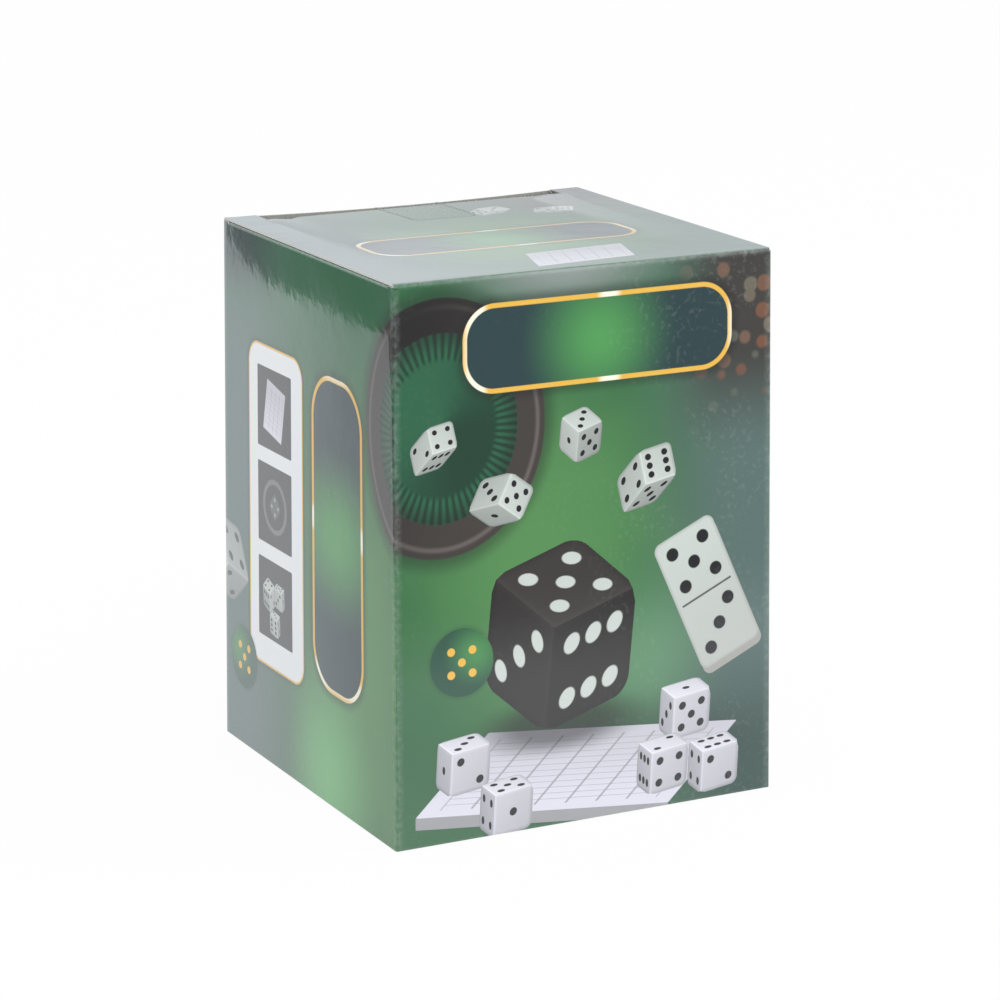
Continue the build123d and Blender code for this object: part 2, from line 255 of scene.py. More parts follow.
def board_shell(
        name, outer, inner, materials, crease=None, closed_rows=False, face_slots=None, leaning=True):
    """A closed sheet of board: an outer grid, an inner grid and the cut edge that joins them."""
    rows, columns = outer.shape[:2]
    count = rows * columns
    points = np.concatenate([outer.reshape(-1, 3), inner.reshape(-1, 3)])
    front = grid_faces(rows, columns, 0, closed_rows)
    groups = [
        (front, 0 if face_slots is None else face_slots),
        (grid_faces(rows, columns, count, closed_rows), 1),
        (border_faces(rows, columns, count, closed_rows), 2),
    ]
    wear = np.zeros(count) if crease is None else crease.ravel()
    attributes = {"rest_mm": points, "crease": np.concatenate([wear, wear])}
    return build_object(name, lean(points) if leaning else points, groups, materials, attributes)


def spread(low, high, count):
    """Evenly spaced values from low to high."""
    return np.linspace(low, high, count)


def joined(*pieces):
    """Values joined end to end, as for the stations of a grid."""
    return np.concatenate([np.atleast_1d(np.asarray(piece, dtype=float)) for piece in pieces])


def ordered(*pieces):
    """Values joined, in order and each once."""
    return np.unique(np.round(joined(*pieces), 6))


# Shader nodes

class Value:
    """An output of a shader node. Arithmetic on it adds Math nodes to its tree."""

    def __init__(self, nodes, socket):
        self.nodes, self.socket = nodes, socket

    def __add__(self, other):
        return self.nodes.math("ADD", self, other)

    def __sub__(self, other):
        return self.nodes.math("SUBTRACT", self, other)

    def __rsub__(self, other):
        return self.nodes.math("SUBTRACT", other, self)

    def __mul__(self, other):
        return self.nodes.math("MULTIPLY", self, other)

    def __gt__(self, other):
        return self.nodes.math("GREATER_THAN", self, other)

    def __lt__(self, other):
        return self.nodes.math("LESS_THAN", self, other)

    def __abs__(self):
        return self.nodes.math("ABSOLUTE", self)


BLACK, WHITE = (0.0, 0.0, 0.0), (1.0, 1.0, 1.0)


class Nodes:
    """Short words for the shader nodes of one tree. What they return can be reckoned with."""

    def __init__(self, tree):
        self.tree = tree

    def new(self, kind, **values):
        """A new node with some of its settings."""
        node = self.tree.nodes.new(kind)
        for key, value in values.items():
            setattr(node, key, value)
        return node

    def put(self, value, socket):
        """Links a value to a socket, or sets the socket to a constant or a colour."""
        if isinstance(value, Value):
            self.tree.links.new(value.socket, socket)
        elif socket.type == "RGBA":
            socket.default_value = (*value, 1.0)
        else:
            socket.default_value = value

    def set(self, node, **values):
        """Fills a node's inputs by name, with _ for a space."""
        for key, value in values.items():
            self.put(value, node.inputs[key.replace("_", " ")])

    def outputs(self, node, *keys):
        """Some outputs of a node as values, or just the one."""
        values = tuple(Value(self, node.outputs[key]) for key in keys)
        return values if len(values) > 1 else values[0]

    def fill(self, node, values, first=0, output=0):
        """Fills a node's inputs in order, from the first one on, and returns one of its outputs."""
        for value, socket in zip(values, node.inputs[first:]):
            self.put(value, socket)
        return self.outputs(node, output)

    def math(self, operation, *values):
        return self.fill(self.new("ShaderNodeMath", operation=operation), values)

    def larger(self, first, second):
        return self.math("MAXIMUM", first, second)

    def smaller(self, first, second):
        return self.math("MINIMUM", first, second)

    def length(self, a, b):
        """The length of (a, b): the root of the sum of their squares."""
        return self.math("SQRT", a * a + b * b)

    def ramp(self, value, low, high, start=0.0, end=1.0, soft=True):
        """Maps value from low..high to start..end, held at both ends."""
        kind = "SMOOTHSTEP" if soft else "LINEAR"
        node = self.new("ShaderNodeMapRange", interpolation_type=kind, clamp=not soft)
        return self.fill(node, (value, low, high, start, end))

    def mix(self, share, below, above, held=True):
        """The colour at a share of the way between two. The share may pass 1 where it isn't held."""
        node = self.new("ShaderNodeMix", data_type="RGBA", clamp_factor=held)
        self.put(share, node.inputs[0])
        return self.fill(node, (below, above), 6, 2)

    def dim(self, share, color):
        """A colour times a share, which may be above 1."""
        return self.mix(share, BLACK, color, held=False)

    def noise(self, scale, vector, detail=2.0, roughness=0.5):
        node = self.new("ShaderNodeTexNoise")
        self.set(node, Vector=vector, Scale=scale, Detail=detail, Roughness=roughness)
        return self.outputs(node, 0)

    def cells(self, scale, vector, *keys, feature="F1", randomness=1.0):
        """Outputs of a pattern of cells, by name."""
        node = self.new("ShaderNodeTexVoronoi", feature=feature)
        self.set(node, Vector=vector, Scale=scale, Randomness=randomness)
        return self.outputs(node, *keys)

    def attribute(self, name, field="Vector"):
        return self.outputs(self.new("ShaderNodeAttribute", attribute_name=name), field)

    def object_mm(self):
        """The place on the object, in millimetres."""
        node = self.new("ShaderNodeVectorMath", operation="SCALE")
        self.set(node, Scale=1 / MM)
        return self.fill(node, [self.outputs(self.new("ShaderNodeTexCoord"), "Object")])

    def rays(self):
        """1 for a ray from the camera, for a mirrored one, and for one that came through glass."""
        return self.outputs(
            self.new("ShaderNodeLightPath"), "Is Camera Ray", "Is Glossy Ray", "Is Transmission Ray")

    def split(self, vector):
        """The three numbers of a vector."""
        node = self.new("ShaderNodeSeparateXYZ")
        self.put(vector, node.inputs[0])
        return self.outputs(node, 0, 1, 2)

    def bump(self, height, strength, distance_mm, **normal):
        node = self.new("ShaderNodeBump")
        self.set(node, Height=height, Strength=strength, Distance=distance_mm * MM, **normal)
        return self.outputs(node, 0)

    def use(self, group, **values):
        """The outputs of a node group whose inputs are filled by name."""
        node = self.new("ShaderNodeGroup", node_tree=group)
        for key, value in values.items():
            self.put(value, node.inputs[key])
        return self.outputs(node, *range(len(node.outputs)))


def new_material(name):
    """A material with an empty tree, its Principled shader and its output joined."""
    material = bpy.data.materials.new(name)
    material.use_nodes = True
    material.node_tree.nodes.clear()
    nodes = Nodes(material.node_tree)
    shader = nodes.new("ShaderNodeBsdfPrincipled")
    nodes.tree.links.new(shader.outputs[0], nodes.new("ShaderNodeOutputMaterial").inputs[0])
    return material, nodes, shader


def shared_group(inputs):
    """Makes a node group of plain numbers once and then hands it out. The function that it stands
    over draws the group from its nodes and inputs, and returns its outputs by name."""
    keys = inputs.split()

    def share(draw):
        def shared():
            name = draw.__name__
            if name in bpy.data.node_groups:
                return bpy.data.node_groups[name]
            group = bpy.data.node_groups.new(name, "ShaderNodeTree")
            for key in keys:
                group.interface.new_socket(key, in_out="INPUT", socket_type="NodeSocketFloat")
            nodes = Nodes(group)
            made = draw(nodes, *nodes.outputs(nodes.new("NodeGroupInput"), *keys))
            for key in made:
                group.interface.new_socket(key, in_out="OUTPUT", socket_type="NodeSocketFloat")
            nodes.set(nodes.new("NodeGroupOutput"), **made)
            return group
        return shared
    return share


@shared_group("u v centre_u centre_v half_u half_v radius")
def rounded_box(n, u, v, centre_u, centre_v, half_u, half_v, radius):
    """Distance to a rounded box: the length of what reaches past the inner box on each axis, less
    the corner radius, negative inside."""
    reach_u = abs(u - centre_u) - half_u + radius
    reach_v = abs(v - centre_v) - half_v + radius
    outside = n.length(n.larger(reach_u, 0.0), n.larger(reach_v, 0.0))
    inside = n.smaller(n.larger(reach_u, reach_v), 0.0)
    return {"distance": outside + inside - radius}


@shared_group("u v centre pair corners sides")
def pips(n, u, v, centre, pair, corners, sides):
    """Pips on a face that runs from -1 to 1 both ways. The face is folded about its axes, so that one
    distance serves the four corners, one the two sides and one the centre."""
    pitch, size, feather = 0.52, 0.19, 0.02
    corner_u, corner_v = abs(u) - pitch, abs(v) - pitch

    def dot(a, b):
        """One round dot about (a, b)."""
        return n.ramp(n.length(a, b), size - feather, size + feather, 1.0, 0.0)

    at_corner = dot(corner_u, corner_v)
    same_side = u * v > 0.0
    total = n.larger(dot(u, v) * centre, at_corner * corners)
    total = n.larger(total, at_corner * same_side * pair)
    return {"cover": n.larger(total, dot(corner_u, v) * sides)}


PIP_SHARES = {
    count: dict(zip(("centre", "pair", "corners", "sides"), shares))
    for count, shares in enumerate((
        (1.0, 0.0, 0.0, 0.0), (0.0, 1.0, 0.0, 0.0), (1.0, 1.0, 0.0, 0.0),
        (0.0, 0.0, 1.0, 0.0), (1.0, 0.0, 1.0, 0.0), (0.0, 0.0, 1.0, 1.0)), 1)
}


# The print

INK_WHITE = (0.56, 0.61, 0.58)
INK_BLACK = (0.010, 0.010, 0.011)
INK_LEATHER = (0.022, 0.019, 0.018)
FELT_DARK = (0.008, 0.045, 0.024)
FELT_LIGHT = (0.020, 0.115, 0.055)
GLINT = (0.95, 0.92, 0.74)
MIDDLE = (0.0, 0.0)
PLATE_DARK = (0.018, 0.046, 0.052)
PLATE_GLOW = (0.075, 0.31, 0.085)


@shared_group("x y feather centre pair corners sides")
def printed_die_face(n, x, y, feather, centre, pair, corners, sides):
    """One face of a printed die, on places from -1 to 1 whose near corner is (-1, -1): its cover, its
    light and its pips. The cover is a box rounded at the far corner, blunt at the two tips and cut
    square at the near sides; the light falls away from the near corner and rises along the near
    edges."""
    away = n.use(
        rounded_box(), u=x, v=y, centre_u=-0.3, centre_v=-0.3, half_u=1.3, half_v=1.3, radius=0.34)
    tips = abs(x - y) * 2.0 + x + y
    near = n.smaller(x, y)
    cover = n.ramp(away, feather * -1.0, feather, 1.0, 0.0) * (near > -1.0) * (tips < 3.72)
    light = (x + y) * -0.055 + 0.93 + n.ramp(near, -1.0, -0.84, 0.16, 0.0)
    light = light - n.ramp(away, -0.22, 0.0, 0.0, 0.22)
    marks = n.use(pips(), u=x, v=y, centre=centre, pair=pair, corners=corners, sides=sides) * cover
    return {"cover": cover, "light": light, "marks": marks}


class Print:
    """Draws printed shapes over each other on one face of the carton. Places u and v are in
    millimetres from the face's lower left corner."""

    def __init__(self, n, u, v, ground, gold):
        self.n, self.u, self.v, self.color, self.gold = n, u, v, ground, gold

    def cover(self, distance, feather=0.12):
        """1 inside a shape and 0 outside, from the distance to its outline."""
        return self.n.ramp(distance, -feather, feather, 1.0, 0.0)

    def box(self, centre, half, radius, place=None):
        """The distance to a rounded box."""
        u, v = place or (self.u, self.v)
        return self.n.use(
            rounded_box(), u=u, v=v,
            centre_u=centre[0], centre_v=centre[1], half_u=half[0], half_v=half[1], radius=radius)

    def oval(self, centre, radii):
        """The distance from a centre, as a share of an upright oval's radius there."""
        return self.n.length(
            (self.u - centre[0]) * (1 / radii[0]), (self.v - centre[1]) * (1 / radii[1]))

    def paint(self, mask, ink, share=1.0):
        """Lays an ink over what is printed so far."""
        if share != 1.0:
            mask = mask * share
        self.color = self.n.mix(mask, self.color, ink)

    def glow(self, centre, radii):
        """1 at a centre, falling softly to 0 at an oval round it."""
        return self.n.ramp(self.oval(centre, radii), 0.0, 1.0, 1.0, 0.0)

    def shade(self, centre, radii, depth):
        """A soft dark oval, as under a thing that lies on the ground."""
        self.paint(self.n.ramp(self.oval(centre, radii), 0.35, 1.0, depth, 0.0), INK_BLACK)

    def marks(self, place, count, ink=INK_BLACK, within=1.0):
        """The pips of a count, on places from -1 to 1."""
        u, v = place
        self.paint(self.n.use(pips(), u=u, v=v, **PIP_SHARES[count]) * within, ink)

    def turned(self, centre, degrees, size):
        """Places on a square about a centre, turned, running from -1 to 1 both ways."""
        c, s = math.cos(math.radians(degrees)) * 2 / size, math.sin(math.radians(degrees)) * 2 / size
        return self.skewed(centre, ((c, s), (-s, c)), 0.0)

    def skewed(self, centre, rows, start):
        """Places that a two by two matrix makes of the offset from a centre."""
        a, b = self.u - centre[0], self.v - centre[1]
        return tuple(a * row[0] + b * row[1] + start for row in rows)

    def cube(self, centre, size, axes, counts, ink=INK_WHITE, dot=INK_BLACK, lights=(1.0, 0.80, 0.62)):
        """A die seen from a corner: three skewed faces meet at the centre, each spanned by two of
        the three axes. A face's places come from solving the place for its two axes."""
        for number, (first, second) in enumerate(((0, 1), (1, 2), (2, 0))):
            span = np.array([axes[first], axes[second]]).T * size
            x, y = self.skewed(centre, np.linalg.inv(span) * 2, -1.0)
            cover, light, marks = self.n.use(
                printed_die_face(), x=x, y=y, feather=0.22 / size, **PIP_SHARES[counts[number]])
            self.paint(cover, self.n.dim(light * lights[number], ink))
            self.paint(marks, dot)

    def flat_die(self, centre, size, degrees, count, body, dot):
        """A flat rounded square with pips."""
        place = self.turned(centre, degrees, size)
        shape = self.cover(self.box(MIDDLE, (1.0, 1.0), 0.34, place), 0.24 / size)
        self.paint(shape, body)
        self.marks(place, count, dot, shape)

    def sheets(self, centre, axes, thickness, lines=(7, 12)):
        """A block of ruled sheets on the ground, spanned by two half axes in millimetres, with its
        pale cut edge below it."""
        feather = 0.15 / float(np.hypot(*axes[0]))
        if thickness > 0:
            edge_middle = (centre[0] - axes[1][0], centre[1] - axes[1][1] - thickness / 2)
            rows = np.linalg.inv(np.array((axes[0], (0.0, thickness / 2))).T)
            place = self.skewed(edge_middle, rows, 0.0)
            cut_edge = self.box(MIDDLE, (1.0, 1.0), 0.02, place)
            self.paint(self.cover(cut_edge, feather), (0.34, 0.34, 0.36))
        x, y = self.skewed(centre, np.linalg.inv(np.array(axes).T), 0.0)
        top = self.cover(self.box(MIDDLE, (1.0, 1.0), 0.02, (x, y)), feather)
        self.paint(top, self.n.mix(self.n.ramp(y, -1.0, 1.0), (0.69, 0.69, 0.78), (0.54, 0.53, 0.60)))
        inner = self.cover(self.box(MIDDLE, (0.86, 0.84), 0.01, (x, y)), 0.01)
        for place, count in ((x, lines[0]), (y, lines[1])):
            turns = place * (count / 1.72) + (count / 2 + 0.5)
            away = abs(self.n.math("FRACT", turns) - 0.5)
            line = self.n.ramp(away, 0.02, 0.06, 1.0, 0.0)
            self.paint(line * inner, (0.30, 0.31, 0.33), 0.8)

    def domino(self, centre, size, degrees, counts):
        """A white tile of two squares, each with its pips, and a dark edge on its lower side."""
        feather = 0.24 / size
        below = self.turned((centre[0] + 0.05 * size, centre[1] - 0.09 * size), degrees, size)
        lower_side = self.cover(self.box(MIDDLE, (1.0, 2.0), 0.24, below), feather)
        self.paint(lower_side, (0.36, 0.36, 0.34))
        x, y = self.turned(centre, degrees, size)
        edge = self.box(MIDDLE, (1.0, 2.0), 0.24, (x, y))
        face = self.cover(edge, feather)
        self.paint(face, self.n.mix(self.n.ramp(y, -2.0, 2.0), (0.47, 0.50, 0.48), INK_WHITE))
        self.paint(face * self.n.ramp(edge, -0.10, 0.0), (0.40, 0.41, 0.39), 0.7)
        bar = self.cover(self.box(MIDDLE, (0.84, 0.03), 0.02, (x, y)), feather)
        self.paint(bar, (0.10, 0.10, 0.10))
        for middle, count in zip((-1.0, 1.0), counts):
            self.marks((x, y - middle), count, within=y > 0.0 if middle > 0 else y < 0.0)

    def tray(self, centre, radii):
        """A round felt-lined tray seen from above: a dark leather rim round ribbed green felt."""
        away = self.oval(centre, radii)
        angle = self.n.math("ARCTAN2", self.v - centre[1], self.u - centre[0])
        self.paint(self.n.ramp(away, 1.0, 1.16, 0.5, 0.0), INK_BLACK)
        side = self.n.ramp(self.n.math("SINE", angle + 2.2), -1.0, 1.0)
        leather = self.n.mix(side, (0.012, 0.010, 0.010), (0.050, 0.042, 0.038))
        self.paint(self.n.ramp(away, 0.99, 1.01, 1.0, 0.0), leather)
        sheen = self.n.ramp(abs(away - 0.93), 0.0, 0.035, 1.0, 0.0)
        self.paint(sheen * side, (0.16, 0.14, 0.13), 0.7)
        ribs = self.n.math("SINE", angle * 64.0)
        wall = self.n.mix(self.n.ramp(ribs, -1.0, 1.0), FELT_DARK, FELT_LIGHT)
        self.paint(self.n.ramp(away, 0.72, 0.74, 1.0, 0.0), wall)
        shadow = self.n.ramp(away, 0.56, 0.74) * self.n.ramp(away, 0.72, 0.74, 1.0, 0.0)
        self.paint(shadow, INK_BLACK, 0.55)
        self.paint(self.n.ramp(away, 0.50, 0.56, 1.0, 0.0), self.n.mix(side, FELT_LIGHT, FELT_DARK))

    def plate(self, centre, half, radius, upright=False):
        """A bare title plate: a dark rounded bar with a green glow, inside a glinting gold line."""
        edge = self.box(centre, half, radius)
        along, middle, reach = (self.u, self.v)[upright], centre[upright], half[upright]
        radii = (2.2 * half[0], 0.62 * reach) if upright else (0.62 * reach, 2.2 * half[1])
        glow = self.glow(centre, radii)
        self.paint(self.n.ramp(edge, 0.0, 2.6, 0.5, 0.0), INK_BLACK)
        self.paint(self.cover(edge), self.n.mix(glow, PLATE_DARK, PLATE_GLOW))
        turns = self.n.math("SINE", (along - middle) * (6.4 / reach) + 1.1)
        gold = self.n.mix(self.n.ramp(turns, 0.80, 1.0), self.gold, GLINT)
        ring = abs(edge + 0.5) - 0.5
        self.paint(self.cover(ring), gold)

    def badge(self, centre, radius):
        """A round green badge with a gold five of pips."""
        away = self.oval(centre, (radius, radius))
        self.paint(self.n.ramp(away, 1.0, 1.15, 0.2, 0.0), INK_BLACK)
        light = self.oval((centre[0] + 0.45 * radius, centre[1] + 0.25 * radius), (radius, radius))
        ball = self.n.mix(self.n.ramp(light, 0.0, 1.15), (0.060, 0.25, 0.075), (0.014, 0.075, 0.045))
        self.paint(self.n.ramp(away, 0.985, 1.015, 1.0, 0.0), ball)
        self.marks(self.turned(centre, 0.0, 1.3 * radius), 5, self.gold)


def ground_colors(n, p, place, u, v, glow_centre, glow_reach, haze):
    """The green ground: bright near the glow, deep away from it, with a slate haze along one side."""
    away = n.length(
        (u - glow_centre[0]) * (1 / glow_reach[0]), (v - glow_centre[1]) * (1 / glow_reach[1]))
    away = away + (n.noise(0.035, place) - 0.5) * 0.7
    green = n.mix(n.ramp(away, 0.05, 1.15), p.bright_green, p.deep_green)
    return n.mix(n.ramp(u, haze[0], haze[1], 0.0, haze[2]), green, p.slate)


ISO_AXES = ((0.86, 0.28), (-0.62, 0.55), (-0.10, -0.98))
TILTED_AXES = ((0.70, -0.52), (0.42, 0.84), (-0.92, -0.10))
SMALL_AXES = ((0.92, 0.18), (-0.20, 0.90), (-0.66, -0.66))
LOW_AXES = ((-0.34, 0.30), (0.94, 0.12), (-0.06, -0.96))


def front_print(n, p, place, u, v):
    """The front and back faces: a felt tray, dice, a tile and ruled sheets on green, a title plate
    and a badge."""
    ground = ground_colors(n, p, place, u, v, (34.0, 58.0), (46.0, 52.0), (50.0, 84.0, 0.9))
    art = Print(n, u, v, ground, p.gold)
    art.paint(art.glow((60.0, 34.0), (22.0, 26.0)), (0.11, 0.27, 0.14), 0.8)
    art.paint(n.ramp(v, 26.0, 2.0, 0.0, 1.0), (0.045, 0.14, 0.065), 0.7)
    art.paint(n.ramp(u, 56.0, 84.0) * n.ramp(v, 44.0, 8.0), (0.020, 0.055, 0.050), 0.85)
    art.paint(art.glow((40.0, 120.0), (34.0, 14.0)), (0.30, 0.33, 0.33), 0.9)
    corner = n.ramp(u, 60.0, 80.0) * n.ramp(v, 74.0, 100.0)
    art.paint(corner, (0.040, 0.030, 0.026), 0.9)
    far_off, tints = n.cells(0.19, place, "Distance", "Color", randomness=0.85)
    tint = n.mix(n.split(tints)[0], (0.22, 0.075, 0.035), (0.15, 0.20, 0.16))
    art.paint(n.ramp(far_off, 0.27, 0.39, 1.0, 0.0) * corner, tint, 0.75)
    art.tray((11.0, 88.0), (24.0, 27.0))
    art.cube((9.0, 83.0), 6.2, SMALL_AXES, (4, 2, 6))
    art.cube((24.0, 71.0), 7.6, TILTED_AXES, (5, 3, 1))
    art.cube((43.0, 84.0), 6.6, ISO_AXES, (3, 1, 5))
    art.cube((59.0, 71.0), 8.2, SMALL_AXES, (6, 4, 5))
    art.shade((48.0, 13.0), (46.0, 16.0), 0.45)
    art.sheets((43.0, 11.5), ((30.0, -3.0), (8.5, 8.0)), 2.6)
    art.shade((38.0, 22.0), (24.0, 8.0), 0.75)
    art.cube((37.0, 43.0), 23.0, ISO_AXES, (5, 3, 6), INK_LEATHER, INK_WHITE, (2.0, 1.25, 0.85))
    art.domino((74.0, 46.0), 15.5, 24.0, (3, 5))
    for centre, counts in (
            ((66.0, 23.5), (1, 5, 3)), ((60.5, 12.0), (2, 4, 6)), ((73.0, 10.5), (6, 2, 4)),
            ((13.0, 19.0), (3, 2, 1)), ((23.0, 8.5), (5, 1, 4))):
        art.cube(centre, 9.6, LOW_AXES, counts, (0.70, 0.70, 0.77))
    art.plate((48.0, 103.5), (32.0, 9.3), 7.4)
    art.badge((15.4, 38.5), 7.3)
    return art.color


def side_print(n, p, place, u, v):
    """The side faces, u counted back from the front crease: three dark tiles in a white panel, an
    upright title plate and a badge."""
    ground = ground_colors(n, p, place, u, v, (14.0, 34.0), (44.0, 74.0), (44.0, 80.0, 0.95))
    art = Print(n, u, v, ground, p.gold)
    art.paint(art.glow((33.0, 5.0), (26.0, 34.0)), (0.15, 0.47, 0.16), 0.9)
    art.paint(n.ramp(v, 86.0, 112.0, 0.0, 0.7), (0.035, 0.15, 0.075))
    art.paint(n.ramp(u, 52.0, 82.0) * n.ramp(v, 100.0, 112.0), (0.030, 0.046, 0.052), 0.85)
    art.tray((-11.0, 88.0), (24.0, 27.0))
    art.cube((88.0, 40.0), 13.0, TILTED_AXES, (5, 4, 2), (0.50, 0.54, 0.53), (0.05, 0.06, 0.06))
    panel = art.box((60.8, 58.2), (14.7, 36.2), 5.0)
    art.paint(n.ramp(panel, 0.0, 1.8, 0.35, 0.0), INK_BLACK)
    art.paint(art.cover(panel), art.gold)
    inner = art.box((60.8, 58.2), (14.25, 35.75), 4.6)
    art.paint(art.cover(inner), (0.80, 0.82, 0.84))
    for centre_v, kind in ((80.5, "card"), (59.1, "tray"), (37.6, "dice")):
        tile = art.box((61.4, centre_v), (9.2, 9.0), 0.4)
        art.paint(art.cover(tile), (0.030, 0.031, 0.033))
        if kind == "card":
            art.sheets((61.4, centre_v), ((4.9, 1.0), (-1.2, 5.6)), 0.0, (4, 9))
        elif kind == "tray":
            ring = abs(art.oval((61.4, centre_v), (6.6, 6.2)) - 0.9)
            art.paint(n.ramp(ring, 0.06, 0.12, 1.0, 0.0), (0.16, 0.16, 0.17))
            art.flat_die((61.4, centre_v), 4.6, 45.0, 4, (0.10, 0.11, 0.11), (0.34, 0.36, 0.35))
        else:
            art.cube((58.0, centre_v + 2.8), 4.4, LOW_AXES, (5, 3, 1))
            art.cube((64.6, centre_v + 1.2), 4.4, ISO_AXES, (4, 2, 6))
            art.cube((60.5, centre_v - 3.8), 4.4, LOW_AXES, (3, 6, 2))
    art.plate((28.3, 59.6), (12.9, 34.4), 10.0, upright=True)
    art.badge((79.0, 20.5), 7.2)
    return art.color


def lid_print(n, p, place, u, v):
    """The lid: green with a slate haze, a bare title plate and small dice."""
    ground = ground_colors(n, p, place, u, v, (44.0, 30.0), (40.0, 44.0), (62.0, 92.0, 0.7))
    art = Print(n, u, v, ground, p.gold)
    art.paint(n.ramp(u, 4.0, 34.0, 0.8, 0.0), (0.075, 0.105, 0.130))
    brown = n.ramp(u, 44.0, 80.0) * n.ramp(v, 48.0, 80.0)
    art.paint(brown, (0.085, 0.065, 0.070), 0.8)
    art.cube((58.0, 71.0), 6.2, SMALL_AXES, (3, 5, 1))
    art.cube((71.0, 66.0), 5.6, TILTED_AXES, (5, 2, 4))
    art.paint(n.ramp(v, 24.0, 4.0, 0.0, 0.6), (0.10, 0.17, 0.15))
    art.sheets((50.0, 12.5), ((12.0, 1.0), (2.0, 7.0)), 0.0, (6, 9))
    art.plate((43.2, 38.2), (31.8, 10.2), 7.2)
    return art.color


def plain_print(n, p, place, u, v):
    """The folded parts that are printed plain: the green ground alone."""
    return ground_colors(n, p, place, u, v, (45.0, 20.0), (60.0, 60.0), (120.0, 140.0, 0.0))


def laminate(n, shader, place, wear, color, roughness):
    """The glossy film over the print: a faint orange peel, fine crinkles, rubbed creases, and painted
    highlights: pale flecks in the colour, in patches and stronger towards +x, stand in for light caught
    by the crinkles.
    """
    grain = n.noise(0.8, place, 3.0)
    rubbed = wear * n.ramp(grain, 0.35, 0.75, 0.08, 0.26)
    color = n.mix(rubbed, color, (0.40, 0.45, 0.42))
    # A slow noise: smudges in the roughness, and the patches that hold the painted highlights.
    smudge_and_glint_patches = n.noise(0.06, place, 3.0)
    # Painted highlight: pale flecks in the colour stand in for light caught by the film's crinkles;
    # their share grows towards +x.
    painted_crinkle_glints = n.ramp(smudge_and_glint_patches, 0.48, 0.62) * n.ramp(grain, 0.52, 0.66)
    painted_crinkle_glints = painted_crinkle_glints * n.ramp(n.split(place)[0], -10.0, 24.0, 0.015, 0.06)
    peel = n.noise(0.55, place, 1.0)
    crinkle = n.noise(0.12, place, 2.5, 0.6)
    normal = n.bump(peel * 0.22 + crinkle, 0.10, 0.22)
    n.set(
        shader, Base_Color=n.mix(painted_crinkle_glints, color, (0.55, 0.60, 0.60)),
        Roughness=n.ramp(smudge_and_glint_patches, 0.3, 0.7, roughness, roughness + 0.05), IOR=1.5,
        Coat_Weight=0.9, Coat_Roughness=0.03, Normal=normal, Coat_Normal=normal)


def printed_material(name, draw, places):
    """A laminated print: places makes u and v, in millimetres, of the board's place before it leans."""
    if name in bpy.data.materials:
        return bpy.data.materials[name]
    material, n, shader = new_material(name)
    p = bpy.context.scene.diceset_print
    rest = n.attribute("rest_mm")
    x, y, z = n.split(rest)
    u, v = places(x, y, z)
    wear = n.attribute("crease", "Fac")
    laminate(n, shader, rest, wear, draw(n, p, rest, u, v), p.gloss_roughness)
    return material


# Where u and v are counted from on each face, in millimetres

def from_left(x, y, z):
    return x + HALF_WIDTH, z


def from_right(x, y, z):
    return HALF_WIDTH - x, z


def from_front(x, y, z):
    return y + HALF_DEPTH, z


def on_lid(x, y, z):
    return x + HALF_WIDTH, y + HALF_DEPTH


def board_material(name, color, fibre, place_attribute=None):
    """Bare carton board: short grey and brown fibres, matt."""
    material, n, shader = new_material(name)
    place = n.attribute(place_attribute) if place_attribute else n.object_mm()
    fine = n.noise(fibre, place, 4.0, 0.7)
    blotch = n.noise(0.15, place, 2.0)
    darker = tuple(0.72 * value for value in color)
    tone = n.mix(n.ramp(fine, 0.3, 0.7), darker, color)
    tone = n.mix(blotch * 0.25, tone, tuple(min(1.0, 1.15 * value) for value in color))
    n.set(
        shader, Base_Color=tone, Roughness=0.85, Specular_IOR_Level=0.25,
        Normal=n.bump(fine, 0.35, 0.12))
    return material


def board_materials(prints):
    """The slots of a sheet of board: its print, its bare back, its cut edge, then its other prints."""
    back = bpy.data.materials.get("board_back") or board_material(
        "board_back", (0.42, 0.41, 0.39), 2.5, "rest_mm")
    cut = bpy.data.materials.get("board_cut") or board_material(
        "board_cut", (0.66, 0.66, 0.64), 5.0, "rest_mm")
    return [prints[0], back, cut] + list(prints[1:])


# The board's own shape

def lean(points):
    """Draws the carton in towards its top, as the solids are: each place moves towards the middle by
    its share of the width or depth times its share of the height times the wall's draw."""
    up = points[..., 2] / LID_TOP
    moved = points.copy()
    moved[..., 0] -= up * SIDE_DRAW * points[..., 0] / HALF_WIDTH
    share = points[..., 1] / HALF_DEPTH
    moved[..., 1] -= up * ((FRONT_DRAW + BACK_DRAW) / 2 * share + (BACK_DRAW - FRONT_DRAW) / 2)
    return moved


def leaned(x, y, z):
    """One place of the board, drawn in, in metres."""
    return tuple(float(value) * MM for value in lean(np.array([x, y, z], dtype=float)))


def wave(u, v, phase):
    """Slow waves in the board: three crossed sine waves of unequal length."""
    return (
        np.sin(u / 8.5 + v / 19.0 + phase)
        + 0.7 * np.sin(u / 5.6 - v / 13.0 + 2.1 * phase)
        + 0.5 * np.sin(v / 7.0 + 3.7 * phase)
    ) / 2.2


def wall_swell(along, height, phase, settings):
    """How far a wall stands outside its corner line: a parabola across the wall, times a half sine
    from the bottom to the top crease, plus the board's slow waves."""
    across = np.clip(1 - along ** 2, 0, 1)
    upward = np.sin(np.pi * (0.25 + 0.75 * np.clip(height / LID_TOP, 0, 1)))
    waves = settings.waviness * wave(along * HALF_WIDTH, height, phase)
    return (settings.bulge - settings.waviness) * across * upward + waves * across ** 0.5 * upward


